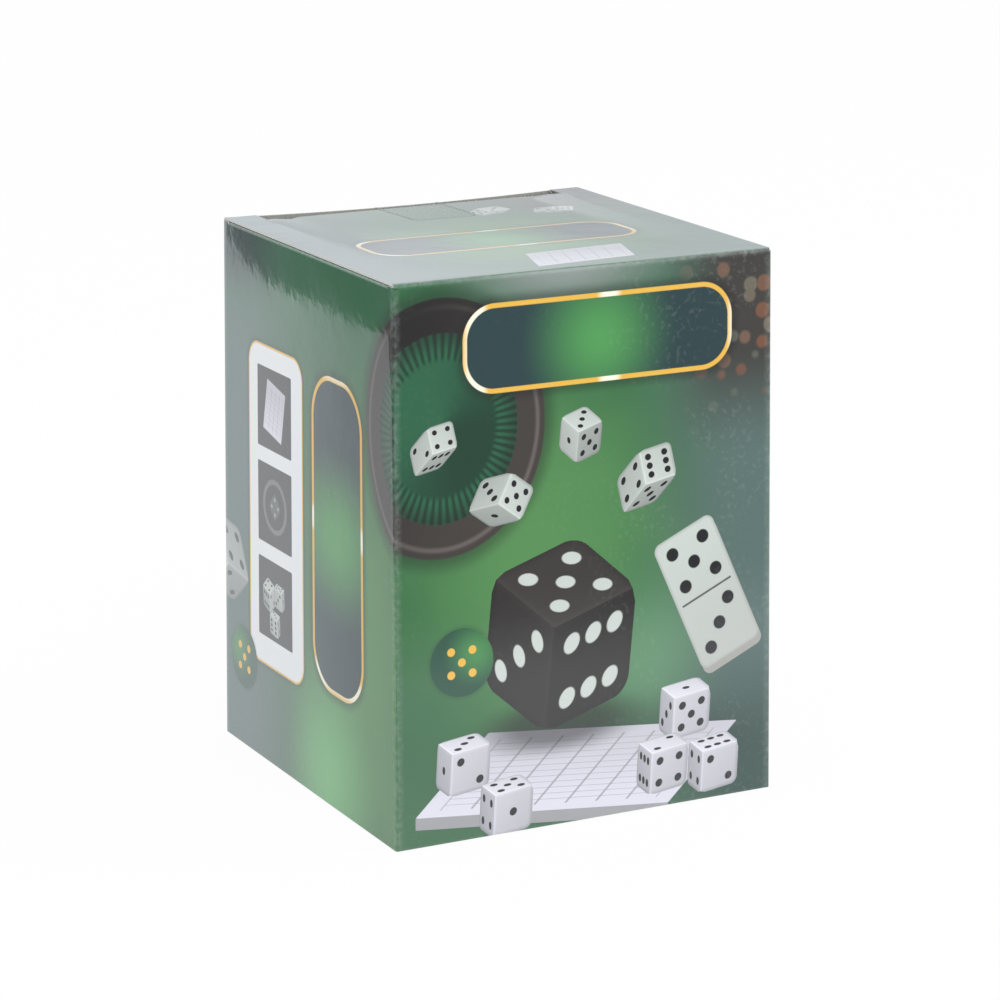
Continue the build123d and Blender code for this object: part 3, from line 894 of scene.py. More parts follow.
def side_outline(settings, count=44, arc_steps=6):
    """The sleeve's outline: four sides joined by quarter circles. For each point its base place,
    its outward direction, the side it belongs to and its share along that side."""
    radius = settings.corner_radius
    half = np.array([HALF_WIDTH, HALF_DEPTH]) - settings.bulge
    flat = half - radius
    ends = np.abs([upright_y(DUST_LOW[1], LID_TOP), upright_y(DUST_HIGH[1], LID_TOP)]) / flat[1]
    steps = ordered(spread(-1, 1, count), ends, ends - 0.003, -ends, 0.003 - ends)
    base, outward, side, share = [], [], [], []
    for number in range(4):
        turn = number * np.pi / 2
        across = np.array([np.cos(turn), np.sin(turn)])
        normal = np.array([np.sin(turn), -np.cos(turn)])
        reach = abs(across) @ flat
        depth = abs(normal) @ half
        base.append(np.outer(steps * reach, across) + depth * normal)
        outward.append(np.tile(normal, (len(steps), 1)))
        side.append(np.full(len(steps), number))
        share.append(steps)
        angles = spread(0, np.pi / 2, arc_steps + 2)[1:-1]
        swing = np.outer(np.cos(angles), normal) + np.outer(np.sin(angles), across)
        centre = across * reach + normal * (depth - radius)
        base.append(centre + radius * swing)
        outward.append(swing)
        side.append(np.where(angles < np.pi / 4, number, (number + 1) % 4))
        share.append(np.where(angles < np.pi / 4, 1.0, -1.0))
    return np.concatenate(base), np.concatenate(outward), np.concatenate(side), np.concatenate(share)


SIDE_FRONT, SIDE_BACK = 0, 2
CREASE_FOOT = LID_TOP - 1.3
DUST_LEVEL = DUST_HIGH[2] - 0.05
BACK_BOW = 0.8
ROWS_UP = 70
WALL_SLOT = 3       # the first of a sheet's other prints, as board_materials() orders them


def side_phase(side):
    """Where the board's waves start on a side, so that no two sides wave alike."""
    return 0.8 + 1.7 * side


class DICESET_OT_sleeve(Operator):
    """Make the four printed walls as one creased sleeve"""
    bl_idname = "diceset.sleeve"
    bl_label = "Sleeve"

    def execute(self, context):
        settings = context.scene.diceset_board
        base, outward, side, share = side_outline(settings)
        before_flap = base[:, 1] < upright_y(DUST_LOW[1], LID_TOP)
        behind_flap = base[:, 1] > upright_y(DUST_HIGH[1], LID_TOP)
        raised = np.where(side == SIDE_FRONT, np.abs(share) >= 1, before_flap | behind_flap)
        top = np.where(raised, DUST_LEVEL, CREASE_FOOT)
        top = np.where(side == SIDE_BACK, BACK_HIGH[2] - BACK_BOW * (1 - share ** 2), top)
        up = np.unique(joined(spread(0, 1, ROWS_UP), 0.004, 0.996))
        height = top[:, None] * up[None, :]
        along = share[:, None] * np.ones_like(height)
        swell = wall_swell(along, height, side_phase(side[:, None]), settings)
        outer = np.empty(height.shape + (3,))
        outer[..., :2] = base[:, None, :] + outward[:, None, :] * swell[..., None]
        outer[..., 2] = height
        inner = outer.copy()
        inner[..., :2] -= outward[:, None, :] * BOARD
        crease = np.exp(-((1 - np.abs(along)) * HALF_WIDTH / 0.4) ** 2)
        foot = np.exp(-(height / 0.3) ** 2)
        crease = np.clip(crease + foot, 0, 1)
        prints = [
            printed_material("print_front", front_print, from_left),
            printed_material("print_side", side_print, from_front),
            printed_material("print_back", front_print, from_right),
        ]
        slots = np.array([0, WALL_SLOT, WALL_SLOT + 1, WALL_SLOT])
        face_slots = np.repeat(slots[side], len(up) - 1)
        piece = board_shell(
            "carton_sleeve", outer, inner, board_materials(prints), crease, True, face_slots)
        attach(piece, "carton")
        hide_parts("front_wall", "back_wall", "left_wall", "right_wall")
        return {"FINISHED"}


class Fold:
    """A line in a plane that is bent once: straight from start towards corner, round an arc, straight
    to end. run and bent are the distances along it at which the arc starts and ends."""

    def __init__(self, start, corner, end, radius):
        self.start, corner, end = (np.array(point, dtype=float) for point in (start, corner, end))
        self.radius = radius
        self.first = (corner - self.start) / np.linalg.norm(corner - self.start)
        second = (end - corner) / np.linalg.norm(end - corner)
        self.turn = math.atan2(
            self.first[0] * second[1] - self.first[1] * second[0], self.first @ second)
        self.run = np.linalg.norm(corner - self.start) - radius * abs(math.tan(self.turn / 2))
        self.arc = radius * abs(self.turn)
        self.bent = self.run + self.arc

    def at(self, lengths):
        """The points at distances along the line, and the unit normals on its left."""
        sign = np.sign(self.turn)
        left = np.array([-self.first[1], self.first[0]])
        centre = self.start + self.first * self.run + sign * self.radius * left
        angle = np.clip((lengths - self.run) / self.radius, 0, abs(self.turn)) * sign
        heading = np.outer(np.cos(angle), self.first) + np.outer(np.sin(angle), left)
        sideways = np.stack([-heading[:, 1], heading[:, 0]], axis=1)
        past = np.clip(lengths - self.run - self.arc, 0, None)
        points = np.where(
            (lengths < self.run)[:, None], self.start + np.outer(lengths, self.first),
            centre - sign * self.radius * sideways + heading * past[:, None])
        return points, sideways

    def wear(self, lengths, reach, columns):
        """How rubbed the crease is: a bell over the middle of the arc, the same right across."""
        bell = np.exp(-((lengths - self.run - self.arc / 2) / reach) ** 2)
        return bell[:, None] * np.ones((1, columns))

    def face_slots(self, lengths, columns):
        """Each face's material slot: the wall's print up to the middle of the arc, then the first."""
        return np.repeat(
            np.where(lengths[:-1] < self.run + 0.5 * self.arc, WALL_SLOT, 0), columns - 1)


def rounding(past, radius):
    """How far a rounded corner draws an edge in, at a distance past the corner's start: the radius
    less the height of its circle there."""
    return radius - np.sqrt(np.clip(radius * radius - np.clip(past, 0, radius) ** 2, 0, None))


def corner_steps(radius, count):
    """Distances from the end of a rounded corner, closest together at its end."""
    return radius * (1 - np.sin(spread(0, np.pi / 2, count)))


def sheet_from_path(path, normals, across, spans, thickness):
    """Sweeps a line in the (depth, height) plane along X. Each station has its own span of X, and
    across gives the places in the span, from -1 to 1."""
    outer = np.empty((len(path), len(across), 3))
    outer[..., 0] = spans[:, None] * across[None, :]
    outer[..., 1] = path[:, None, 0]
    outer[..., 2] = path[:, None, 1]
    inner = outer.copy()
    inner[..., 1] -= normals[:, None, 0] * thickness
    inner[..., 2] -= normals[:, None, 1] * thickness
    return outer, inner


# The lid's, flaps' and seal's own sizes, in millimetres

SLIT_HALF_WIDTH = 37.2
LID_LEVEL = LID_TOP - 0.05
LID_INSET = 0.37
TUCK_BEND, TUCK_RADIUS, TUCK_CORNER = 1.9, 1.6, 9.0
DUST_RADIUS, DUST_CORNER, DUST_DIP, DUST_TAPER = 0.55, 4.0, 1.1, 0.62
SHOULDER_REACH, SHOULDER_DEPTH = 8.0, 3.5
SEAL_FILM, SEAL_RADIUS, SEAL_CORNER, SEAL_STAND = 0.06, 0.45, 2.5, 0.30
SEAM_TAPER = 6.0


def back_sag(x, back_share):
    """How far the lid sinks towards its back edge between the slits: a little more on the left than
    on the right, as the cube of the share of its depth, fading out over 9 mm before each slit except
    at the very edge."""
    across = 0.5 - 0.5 * np.clip(x / SLIT_HALF_WIDTH, -1, 1)
    share = np.clip(back_share, 0, 1)
    fade = np.clip((SLIT_HALF_WIDTH - np.abs(x)) / 9.0, 0, 1)
    fade = fade * fade * (3 - 2 * fade)
    return (0.72 + 0.16 * across) * share ** 3 * (fade + (1 - fade) * share ** 60)


class DICESET_OT_lid(Operator):
    """Make the lid with its front crease and the cut shoulders beside the tuck crease"""
    bl_idname = "diceset.lid"
    bl_label = "Lid"

    def execute(self, context):
        settings = context.scene.diceset_board
        radius = settings.crease_radius
        front = -HALF_DEPTH + settings.bulge
        back = LID_BACK - TUCK_BEND
        fold = Fold((front, CREASE_FOOT), (front, LID_LEVEL), (LID_BACK, LID_LEVEL), radius)
        stations = ordered(
            spread(0, fold.run, 5), spread(fold.run, fold.bent, 10),
            spread(fold.bent, fold.bent + (back - front - radius), 40))
        path, left = fold.at(stations)
        slit = SLIT_HALF_WIDTH / LID_SIDE
        across = joined(
            spread(-1, -slit - 0.001, 8), spread(-slit, slit, 48), spread(slit + 0.001, 1, 8))
        spans = LID_SIDE - LID_INSET * np.clip(1 - (stations - fold.run) / fold.arc, 0, 1)
        outer, inner = sheet_from_path(path, left, across, spans, BOARD)
        shoulder = np.abs(across) > slit + 0.0005
        past_arc = path[:, 0] - front - radius
        stretch = np.where(path[:, 0] > front + radius, past_arc / (back - front - radius), 0.0)
        hump = np.sin(np.pi * np.clip(stretch, 0, 1))
        inside = np.clip(1 - across[None, :] ** 2, 0, 1) ** 0.5 * hump[:, None]
        for grid in (outer, inner):
            grid[..., 1] += stretch[:, None] ** 8 * shoulder[None, :] * TUCK_BEND
            waves = settings.waviness * 1.6 * (wave(outer[..., 0], outer[..., 1], 2.4) - 1.0) * inside
            grid[..., 2] += waves - back_sag(grid[..., 0], stretch[:, None]) * ~shoulder[None, :]
        edge = np.exp(-((1 - np.abs(across)) * LID_SIDE / 0.35) ** 2)
        crease = np.clip(fold.wear(stations, 0.8, len(across)) + edge[None, :], 0, 1)
        prints = [
            printed_material("print_lid", lid_print, on_lid),
            printed_material("print_front", front_print, from_left),
        ]
        piece = board_shell(
            "carton_lid", outer, inner, board_materials(prints), crease,
            face_slots=fold.face_slots(stations, len(across)))
        leaned(0, front, CREASE_FOOT + 0.1)
        leaned(0, front + radius, LID_LEVEL)
        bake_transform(piece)
        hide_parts("lid_panel")
        return {"FINISHED"}


class DICESET_OT_tuck(Operator):
    """Make the tuck flap, with its rounded crease, locking slits and rounded corners"""
    bl_idname = "diceset.tuck"
    bl_label = "Tuck flap"

    def execute(self, context):
        foot = (upright_y(TUCK_LOW[1] + BOARD, TUCK_LOW[2]), TUCK_LOW[2])
        fold = Fold((LID_BACK - TUCK_BEND, LID_LEVEL), (LID_BACK, LID_LEVEL), foot, TUCK_RADIUS)
        total = fold.bent + math.hypot(foot[0] - LID_BACK, foot[1] - LID_LEVEL) - TUCK_RADIUS
        slit = fold.bent + 0.15
        stations = ordered(
            spread(0, fold.bent, 12), slit, slit + 0.02, spread(slit + 0.4, total - TUCK_CORNER, 12),
            total - corner_steps(TUCK_CORNER, 12))
        path, left = fold.at(stations)
        cut = rounding(stations - (total - TUCK_CORNER), TUCK_CORNER)
        spans = np.where(
            stations <= slit, SLIT_HALF_WIDTH - 0.1, upright_x(TUCK_HIGH[0], LID_TOP) - cut)
        outer, inner = sheet_from_path(path, left, spread(-1, 1, 50), spans, BOARD)
        for grid in (outer, inner):
            sag = back_sag(grid[..., 0], 1.0) * (grid[..., 2] - TUCK_LOW[2])
            grid[..., 2] -= sag / (LID_LEVEL - TUCK_LOW[2])
        prints = [printed_material("print_flap", plain_print, from_left)]
        piece = board_shell(
            "carton_tuck", outer, inner, board_materials(prints), fold.wear(stations, 0.7, 50))
        leaned(0, LID_BACK - TUCK_BEND / 2, LID_LEVEL)
        leaned(0, LID_BACK, LID_LEVEL - TUCK_BEND)
        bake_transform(piece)
        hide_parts("tuck_flap")
        return {"FINISHED"}


class DICESET_OT_dust_flaps(Operator):
    """Make the two dust flaps, each creased to the top of a side wall"""
    bl_idname = "diceset.dust_flaps"
    bl_label = "Dust flaps"

    def execute(self, context):
        wall = -HALF_WIDTH + context.scene.diceset_board.bulge
        tip = upright_x(DUST_HIGH[0], DUST_LEVEL)
        front_edge, back_edge = upright_y(DUST_LOW[1], DUST_LEVEL), upright_y(DUST_HIGH[1], DUST_LEVEL)
        fold = Fold((wall, CREASE_FOOT), (wall, DUST_LEVEL), (tip, DUST_LEVEL), DUST_RADIUS)
        total = fold.bent + (tip - wall - DUST_RADIUS)
        stations = ordered(
            spread(0, fold.run, 3), spread(fold.run, fold.bent, 8),
            spread(fold.bent, total - DUST_CORNER, 24), total - corner_steps(DUST_CORNER, 8))
        path, left = fold.at(stations)
        inward = np.clip((path[:, 0] - wall - DUST_RADIUS) / (tip - wall - DUST_RADIUS), 0, 1)
        path[:, 1] -= DUST_DIP * (1 - (1 - inward) ** 2)
        reach = np.clip(path[:, 0] + HALF_WIDTH, 0, None)
        cut = rounding(stations - (total - DUST_CORNER), DUST_CORNER)
        near = np.where(stations <= fold.bent, front_edge, front_edge + DUST_TAPER * reach + cut)
        far = np.where(reach <= SHOULDER_REACH, back_edge, back_edge - SHOULDER_DEPTH) - cut
        depth = near[:, None] + (far - near)[:, None] * spread(0, 1, 40)[None, :]
        prints = [
            printed_material("print_dust", plain_print, from_front),
            printed_material("print_side", side_print, from_front),
        ]
        for name, body, node, sign in (
                ("dust_flap_left", "left_dust", "left_dust_flap", 1),
                ("dust_flap_right", "right_dust", "right_dust_flap", -1)):
            outer = np.empty(depth.shape + (3,))
            outer[..., 0] = sign * path[:, :1]
            outer[..., 1] = depth
            outer[..., 2] = path[:, 1:]
            inner = outer.copy()
            inner[..., 0] -= sign * left[:, None, 0] * BOARD
            inner[..., 2] -= left[:, None, 1] * BOARD
            piece = board_shell(
                name, outer, inner, board_materials(prints), fold.wear(stations, 0.7, 40),
                face_slots=fold.face_slots(stations, 40))
            leaned(sign * wall, 0, CREASE_FOOT + 0.05)
            leaned(sign * (wall + DUST_RADIUS), 0, DUST_LEVEL)
            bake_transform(piece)
            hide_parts(node)
        return {"FINISHED"}


class DICESET_OT_seal(Operator):
    """Make the clear seal that bends from the lid over the back wall"""
    bl_idname = "diceset.seal"
    bl_label = "Seal"

    def execute(self, context):
        settings = context.scene.diceset_board
        level = LID_TOP + SEAL_FILM
        back = HALF_DEPTH - settings.bulge + SEAL_STAND
        start = (upright_y(SEAL_LOW[1], level), level)
        fold = Fold(start, (back, level), (back, SEAL_LOW[2]), SEAL_RADIUS)
        total = fold.bent + (level - SEAL_LOW[2] - SEAL_RADIUS)
        ends = corner_steps(SEAL_CORNER, 10)
        stations = ordered(
            ends, spread(SEAL_CORNER, fold.run, 12), spread(fold.run, fold.bent, 10),
            spread(fold.bent, total - SEAL_CORNER, 12), total - ends)
        path, left = fold.at(stations)
        from_end = np.minimum(stations, total - stations)
        spans = (SEAL_HIGH[0] - SEAL_LOW[0]) / 2 - rounding(SEAL_CORNER - from_end, SEAL_CORNER)
        across = spread(-1, 1, 21)
        outer, inner = sheet_from_path(path, left, across, spans, SEAL_FILM)
        for grid in (outer, inner):
            grid[..., 0] += (SEAL_LOW[0] + SEAL_HIGH[0]) / 2
            on_wall = np.clip((level - grid[..., 2]) / 6.0, 0, 1)
            stretch = (grid[..., 1] + HALF_DEPTH) / (LID_BACK - TUCK_BEND + HALF_DEPTH)
            grid[..., 2] -= back_sag(grid[..., 0], stretch) * (1 - on_wall)
            swell = wall_swell(-grid[..., 0] / HALF_WIDTH, grid[..., 2], side_phase(SIDE_BACK), settings)
            grid[..., 1] += on_wall * (swell - SEAL_STAND + SEAL_FILM + 0.02)
        rim = np.minimum(from_end[:, None], (1 - np.abs(across))[None, :] * spans[:, None])
        material, n, shader = new_material("clear_seal")
        n.set(
            shader, Base_Color=(0.30, 0.33, 0.33), Roughness=0.12,
            Alpha=n.ramp(n.attribute("crease", "Fac"), 0.0, 1.0, 0.04, 0.26),
            Normal=n.bump(n.noise(0.12, n.attribute("rest_mm"), 1.0), 0.1, 0.1))
        edge = np.clip(1 - rim / 0.35, 0, 1)
        piece = board_shell("clear_seal", outer, inner, [material] * 3, edge)
        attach(piece, "lid")
        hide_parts("seal_sticker")
        return {"FINISHED"}


def dress(node, material):
    """Puts a material on a CAD node that stays."""
    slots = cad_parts[node].data.materials
    slots.clear()
    slots.append(material)


class DICESET_OT_carton_inside(Operator):
    """Make the glued seam and finish the snap-lock bottom"""
    bl_idname = "diceset.carton_inside"
    bl_label = "Seam and bottom"

    def execute(self, context):
        low, high = box_mm("glue_flap")
        rise = spread(low[2], high[2], 30)
        from_end = np.minimum(rise - low[2], high[2] - rise)
        taper = SEAM_TAPER * np.clip(1 - from_end / SEAM_TAPER, 0, 1)
        back = HALF_DEPTH - BOARD
        width = back - upright_y(low[1], high[2])
        outer = np.empty((30, 12, 3))
        outer[..., 0] = HALF_WIDTH - BOARD
        outer[..., 1] = back - spread(0, 1, 12)[None, :] * (width - taper[:, None])
        outer[..., 2] = rise[:, None]
        inner = outer.copy()
        inner[..., 0] -= BOARD
        bare = board_material("board_seam", (0.50, 0.48, 0.44), 2.5, "rest_mm")
        flap = board_shell("glue_seam", outer, inner, board_materials([bare]))
        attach(flap, "carton")
        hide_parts("glue_flap")
        material, n, shader = new_material("bottom_board")
        place = n.object_mm()
        x, y, _ = n.split(place)
        p = context.scene.diceset_print
        under = n.split(n.outputs(n.new("ShaderNodeNewGeometry"), "Normal"))[2] < -0.5
        fibre = n.noise(3.0, place, 4.0, 0.7)
        raw = n.mix(n.ramp(fibre, 0.3, 0.7), (0.38, 0.37, 0.34), (0.55, 0.54, 0.50))
        green = plain_print(n, p, place, x + HALF_WIDTH, y + HALF_DEPTH)
        n.set(
            shader, Base_Color=n.mix(under, raw, green), Roughness=n.ramp(under, 0.0, 1.0, 0.8, 0.2),
            Normal=n.bump(fibre, 0.25, 0.08))
        for node in ("bottom_front_flap", "bottom_left_flap", "bottom_right_flap", "bottom_back_flap"):
            dress(node, material)
        return {"FINISHED"}


# The dice cup

CUP_CENTRE = ((CUP_LOW[0] + CUP_HIGH[0]) / 2, (CUP_LOW[1] + CUP_HIGH[1]) / 2)
CUP_FLOOR = CUP_LOW[2]


def around(radii, heights, turns, ripple=0.0):
    """A surface of revolution about the cup's axis: each station's radius is carried round, with a
    ripple added to it where one is given."""
    radius = np.asarray(radii)[:, None] + ripple
    points = np.empty((len(radii), len(turns), 3))
    points[..., 0] = CUP_CENTRE[0] + radius * np.cos(turns)[None, :]
    points[..., 1] = CUP_CENTRE[1] + radius * np.sin(turns)[None, :]
    points[..., 2] = np.asarray(heights)[:, None]
    return points


def turned_ring(name, radii, heights, material):
    """A closed ring: a closed section of stations carried all the way round the cup's axis."""
    points = around(radii, heights, spread(0, 2 * np.pi, 181)[:-1])
    flat = points.reshape(-1, 3)
    faces = grid_faces(*points.shape[:2], 0, True, True)
    return build_object(name, flat, [(faces, 0)], [material], {"rest_mm": flat.copy()})


def turned_skin(name, outer, inner, material):
    """A skin carried round the cup's axis, closed at its two edges."""
    return board_shell(
        name, outer.transpose(1, 0, 2), inner.transpose(1, 0, 2), [material] * 3,
        closed_rows=True, leaning=False)


def foot_radius(node):
    """The radius of a round CAD node's lowest edge about the cup's axis, in millimetres."""
    places = node_places(node)
    lowest = places[:, 2] < places[:, 2].min() + 0.01
    return np.hypot(places[lowest, 0] - CUP_CENTRE[0], places[lowest, 1] - CUP_CENTRE[1]).max()


def cover_radius(height):
    """The cover's outer radius at a height above the cup's floor: a straight taper."""
    return CUP_TOP_RADIUS + (height - CUP_HIGH[2] + CUP_FLOOR) * CUP_TAPER


CUP_TOP_RADIUS = CUP_HIGH[0] - CUP_CENTRE[0]
CUP_TAPER = (CUP_TOP_RADIUS - foot_radius("cup_cover")) / (CUP_HIGH[2] - CUP_FLOOR)
COVER_THICKNESS = 0.8
CORE_THICKNESS = 1.4
LINING_THICKNESS = 1.2
BAND_PROJECTION = 0.9
BAND_CROWN = 1.9
RIB_DEPTH = 0.34 * 1.6


def leather_material():
    """Black grained leatherette: pebbled cells with creased joints and a dull sheen."""
    material, n, shader = new_material("cup_leatherette")
    place = n.attribute("rest_mm")
    settings = bpy.context.scene.diceset_cup
    to_joint = n.cells(1.15, place, "Distance", feature="DISTANCE_TO_EDGE")
    pebble = n.ramp(to_joint, 0.0, 0.28)
    slow = n.noise(0.12, place, 3.0)
    tone = n.mix(n.ramp(slow, 0.3, 0.7), settings.cover_color, (0.024, 0.021, 0.020))
    n.set(
        shader, Base_Color=n.mix(pebble, (0.005, 0.005, 0.005), tone),
        Roughness=n.ramp(slow, 0.3, 0.7, 0.38, 0.5),
        Normal=n.bump(pebble, 0.55, 0.12, Normal=n.bump(slow, 0.2, 0.4)))
    return material


def felt_material():
    """Green ribbed felt: fuzzy fibres, a soft sheen, darker valleys between the ribs."""
    material, n, shader = new_material("cup_felt")
    place = n.object_mm()
    settings = bpy.context.scene.diceset_cup
    fuzz = n.noise(6.0, place, 5.0, 0.75)
    blotch = n.noise(0.5, place, 3.0)
    dark = tuple(0.45 * value for value in settings.felt_color)
    tone = n.mix(n.ramp(fuzz, 0.25, 0.75), dark, tuple(1.25 * value for value in settings.felt_color))
    tone = n.mix(blotch * 0.3, tone, dark)
    n.set(
        shader, Base_Color=tone, Roughness=0.95, Sheen_Weight=0.35, Sheen_Roughness=0.5,
        Specular_IOR_Level=0.15, Normal=n.bump(fuzz, 0.7, 0.25))
    return material


class DICESET_OT_cup(Operator):
    """Make the cup's cover, rolled rim band and ribbed lining, and finish its core, base and floor"""
    bl_idname = "diceset.cup"
    bl_label = "Dice cup"

    def execute(self, context):
        leather = leather_material()
        felt = felt_material()
        span = CUP_HIGH[2] - CUP_FLOOR
        full = BAND_HIGH[2] - CUP_FLOOR
        angles = spread(0, 2 * np.pi, 181)[:-1]

        up = joined(spread(0, 0.6, 4), spread(2.0, span, 40))
        seam = np.exp(-((np.angle(np.exp(1j * (angles - np.pi / 2)))) / 0.045) ** 4) * 0.28
        outer = around(
            cover_radius(up) - rounding(0.5 - up, 0.5) - 0.3, CUP_FLOOR + up, angles, seam[None, :])
        inner = around(cover_radius(up) - COVER_THICKNESS + 0.01, CUP_FLOOR + up, angles)
        cover = turned_skin("cup_cover_skin", outer, inner, leather)
        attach(cover, "cup")
        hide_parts("cup_cover")

        walls = COVER_THICKNESS + CORE_THICKNESS + LINING_THICKNESS
        outer_top = cover_radius(full) + BAND_PROJECTION
        inner_top = cover_radius(full) - walls
        drop = full - (BORE_HIGH[2] - CUP_FLOOR)
        roll = spread(0, np.pi, 22)
        middle, half = (outer_top + inner_top) / 2, (outer_top - inner_top) / 2
        foot, inner_foot = cover_radius(span), inner_top - CUP_TAPER * drop
        radii = joined(
            foot - COVER_THICKNESS, foot + BAND_PROJECTION - 0.35, foot + BAND_PROJECTION - 0.04,
            cover_radius(span + 0.5) + BAND_PROJECTION, middle + half * np.cos(roll),
            inner_foot, inner_foot + LINING_THICKNESS)
        heights = joined(
            span, span, span + 0.12, span + 0.5,
            full - BAND_CROWN + BAND_CROWN * np.sin(roll) ** 0.75, full - drop, full - drop)
        band = turned_ring("cup_rim_roll", radii, CUP_FLOOR + heights, leather)
        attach(band, "cup")
        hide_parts("cup_rim_band")

        ribs = context.scene.diceset_cup.rib_count
        fine = spread(0, 2 * np.pi, ribs * 12 + 1)[:-1]
        ripple = RIB_DEPTH * (1 - np.abs(np.cos(fine * ribs / 2)) ** 0.7)
        rise = spread(BORE_LOW[2] - CUP_FLOOR, BORE_HIGH[2] - CUP_FLOOR, 30)
        crest = cover_radius(rise) - walls
        inside = around(crest + 0.05, CUP_FLOOR + rise, fine, ripple[None, :])
        outside = around(crest + LINING_THICKNESS - 0.01, CUP_FLOOR + rise, fine)
        lining = turned_skin("cup_ribbed_felt", inside, outside, felt)
        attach(lining, "cup")
        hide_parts("cup_lining")

        dress("cup_lining_floor", felt)
        core = board_material("cup_board", (0.34, 0.27, 0.19), 3.0)
        dress("cup_core", core)
        dress("cup_base", core)
        return {"FINISHED"}


# The dice

DIE_YAWS = (6.0, -3.0, 4.0, -2.0, 3.0)
DIE_ROLLS = ((0, 0), (1, 0), (0, 1), (2, 1), (3, 0))
DIE_FACES = (
    (1, (0, 0, 1), (1, 0, 0)), (6, (0, 0, -1), (1, 0, 0)), (2, (0, -1, 0), (1, 0, 0)),
    (5, (0, 1, 0), (1, 0, 0)), (3, (1, 0, 0), (0, 1, 0)), (4, (-1, 0, 0), (0, 1, 0)),
)
PIP_SPOTS = {
    1: ((0, 0),), 2: ((-1, -1), (1, 1)), 3: ((-1, -1), (0, 0), (1, 1)),
    4: ((-1, -1), (-1, 1), (1, -1), (1, 1)), 5: ((-1, -1), (-1, 1), (0, 0), (1, -1), (1, 1)),
    6: ((-1, -1), (-1, 0), (-1, 1), (1, -1), (1, 0), (1, 1)),
}
DIE_CELLS = 60
PIP_DEPTH = 0.75
PIP_PITCH_SHARE = 0.26


def die_face(size, radius, pip_radius, count, normal, across):
    """One face of a rounded cube with its pips: a point of the flat face is pulled to the inner box
    and pushed out from it by the edge radius, then sunk into a bowl where a pip is near. Returns
    the points and, at each, how deep it lies in a pip."""
    half = size / 2
    steps = np.tan(spread(-np.pi / 4, np.pi / 4, DIE_CELLS + 1)) * half
    a, b = np.meshgrid(steps, steps, indexing="ij")
    normal, across = np.array(normal, dtype=float), np.array(across, dtype=float)
    upward = np.cross(normal, across)
    raw = a[..., None] * across + b[..., None] * upward + half * normal
    core = np.clip(raw, radius - half, half - radius)
    away = raw - core
    points = core + radius * away / np.linalg.norm(away, axis=2, keepdims=True)
    pitch = PIP_PITCH_SHARE * size
    sunk = np.zeros_like(a)
    for u, v in PIP_SPOTS[count]:
        distance = np.hypot(a - u * pitch, b - v * pitch) / pip_radius
        sunk = np.maximum(sunk, np.sqrt(np.clip(1 - distance ** 2, 0, 1)))
    return points - (sunk * PIP_DEPTH)[..., None] * normal, sunk


class DICESET_OT_dice(Operator):
    """Make the five dice, rounded and drilled, each as it lies on the cup's floor"""
    bl_idname = "diceset.dice"
    bl_label = "Dice"

    def execute(self, context):
        settings = context.scene.diceset_dice
        material, n, shader = new_material("die_ivory")
        place = n.object_mm()
        ink = n.ramp(n.attribute("pip", "Fac"), 0.02, 0.10)
        cloud = n.noise(0.25, place, 2.0)
        warm = tuple(np.array(settings.ivory) * (0.96, 0.94, 0.9))
        body = n.mix(n.ramp(cloud, 0.3, 0.7), settings.ivory, warm)
        n.set(
            shader, Base_Color=n.mix(ink, body, INK_BLACK), Roughness=n.ramp(ink, 0.0, 1.0, 0.16, 0.45),
            Subsurface_Weight=0.08, Subsurface_Radius=(0.002, 0.002, 0.0015), Coat_Weight=0.3)
        for number, (yaw, rolls) in enumerate(zip(DIE_YAWS, DIE_ROLLS), 1):
            low, high = box_mm(f"die_{number}")
            size = high[2] - low[2]
            centre = (low + high) / 2
            turn = np.array(
                Matrix.Rotation(math.radians(yaw), 3, "Z")
                @ Matrix.Rotation(math.radians(90 * rolls[0]), 3, "X")
                @ Matrix.Rotation(math.radians(90 * rolls[1]), 3, "Y"))
            points, sunk, groups, start = [], [], [], 0
            for face in DIE_FACES:
                grid, depth = die_face(size, settings.edge_round, settings.pip_radius, *face)
                points.append(grid.reshape(-1, 3) @ turn.T + centre)
                sunk.append(depth.ravel())
                groups.append((grid_faces(DIE_CELLS + 1, DIE_CELLS + 1, start), 0))
                start += (DIE_CELLS + 1) ** 2
            piece = build_object(
                f"die_{number}_body", np.concatenate(points), groups, [material],
                {"pip": np.concatenate(sunk)}, 60.0)
            weld(piece)
            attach(piece, f"die_{number}")
            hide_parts(f"die_{number}")
        return {"FINISHED"}


def weld(piece):
    """Merges the doubled points where grids meet, and turns every face outwards."""
    work = bmesh.new()
    work.from_mesh(piece.data)
    bmesh.ops.remove_doubles(work, verts=work.verts, dist=0.01 * MM)
    bmesh.ops.recalc_face_normals(work, faces=work.faces)
    work.to_mesh(piece.data)
    work.free()


# The score pad

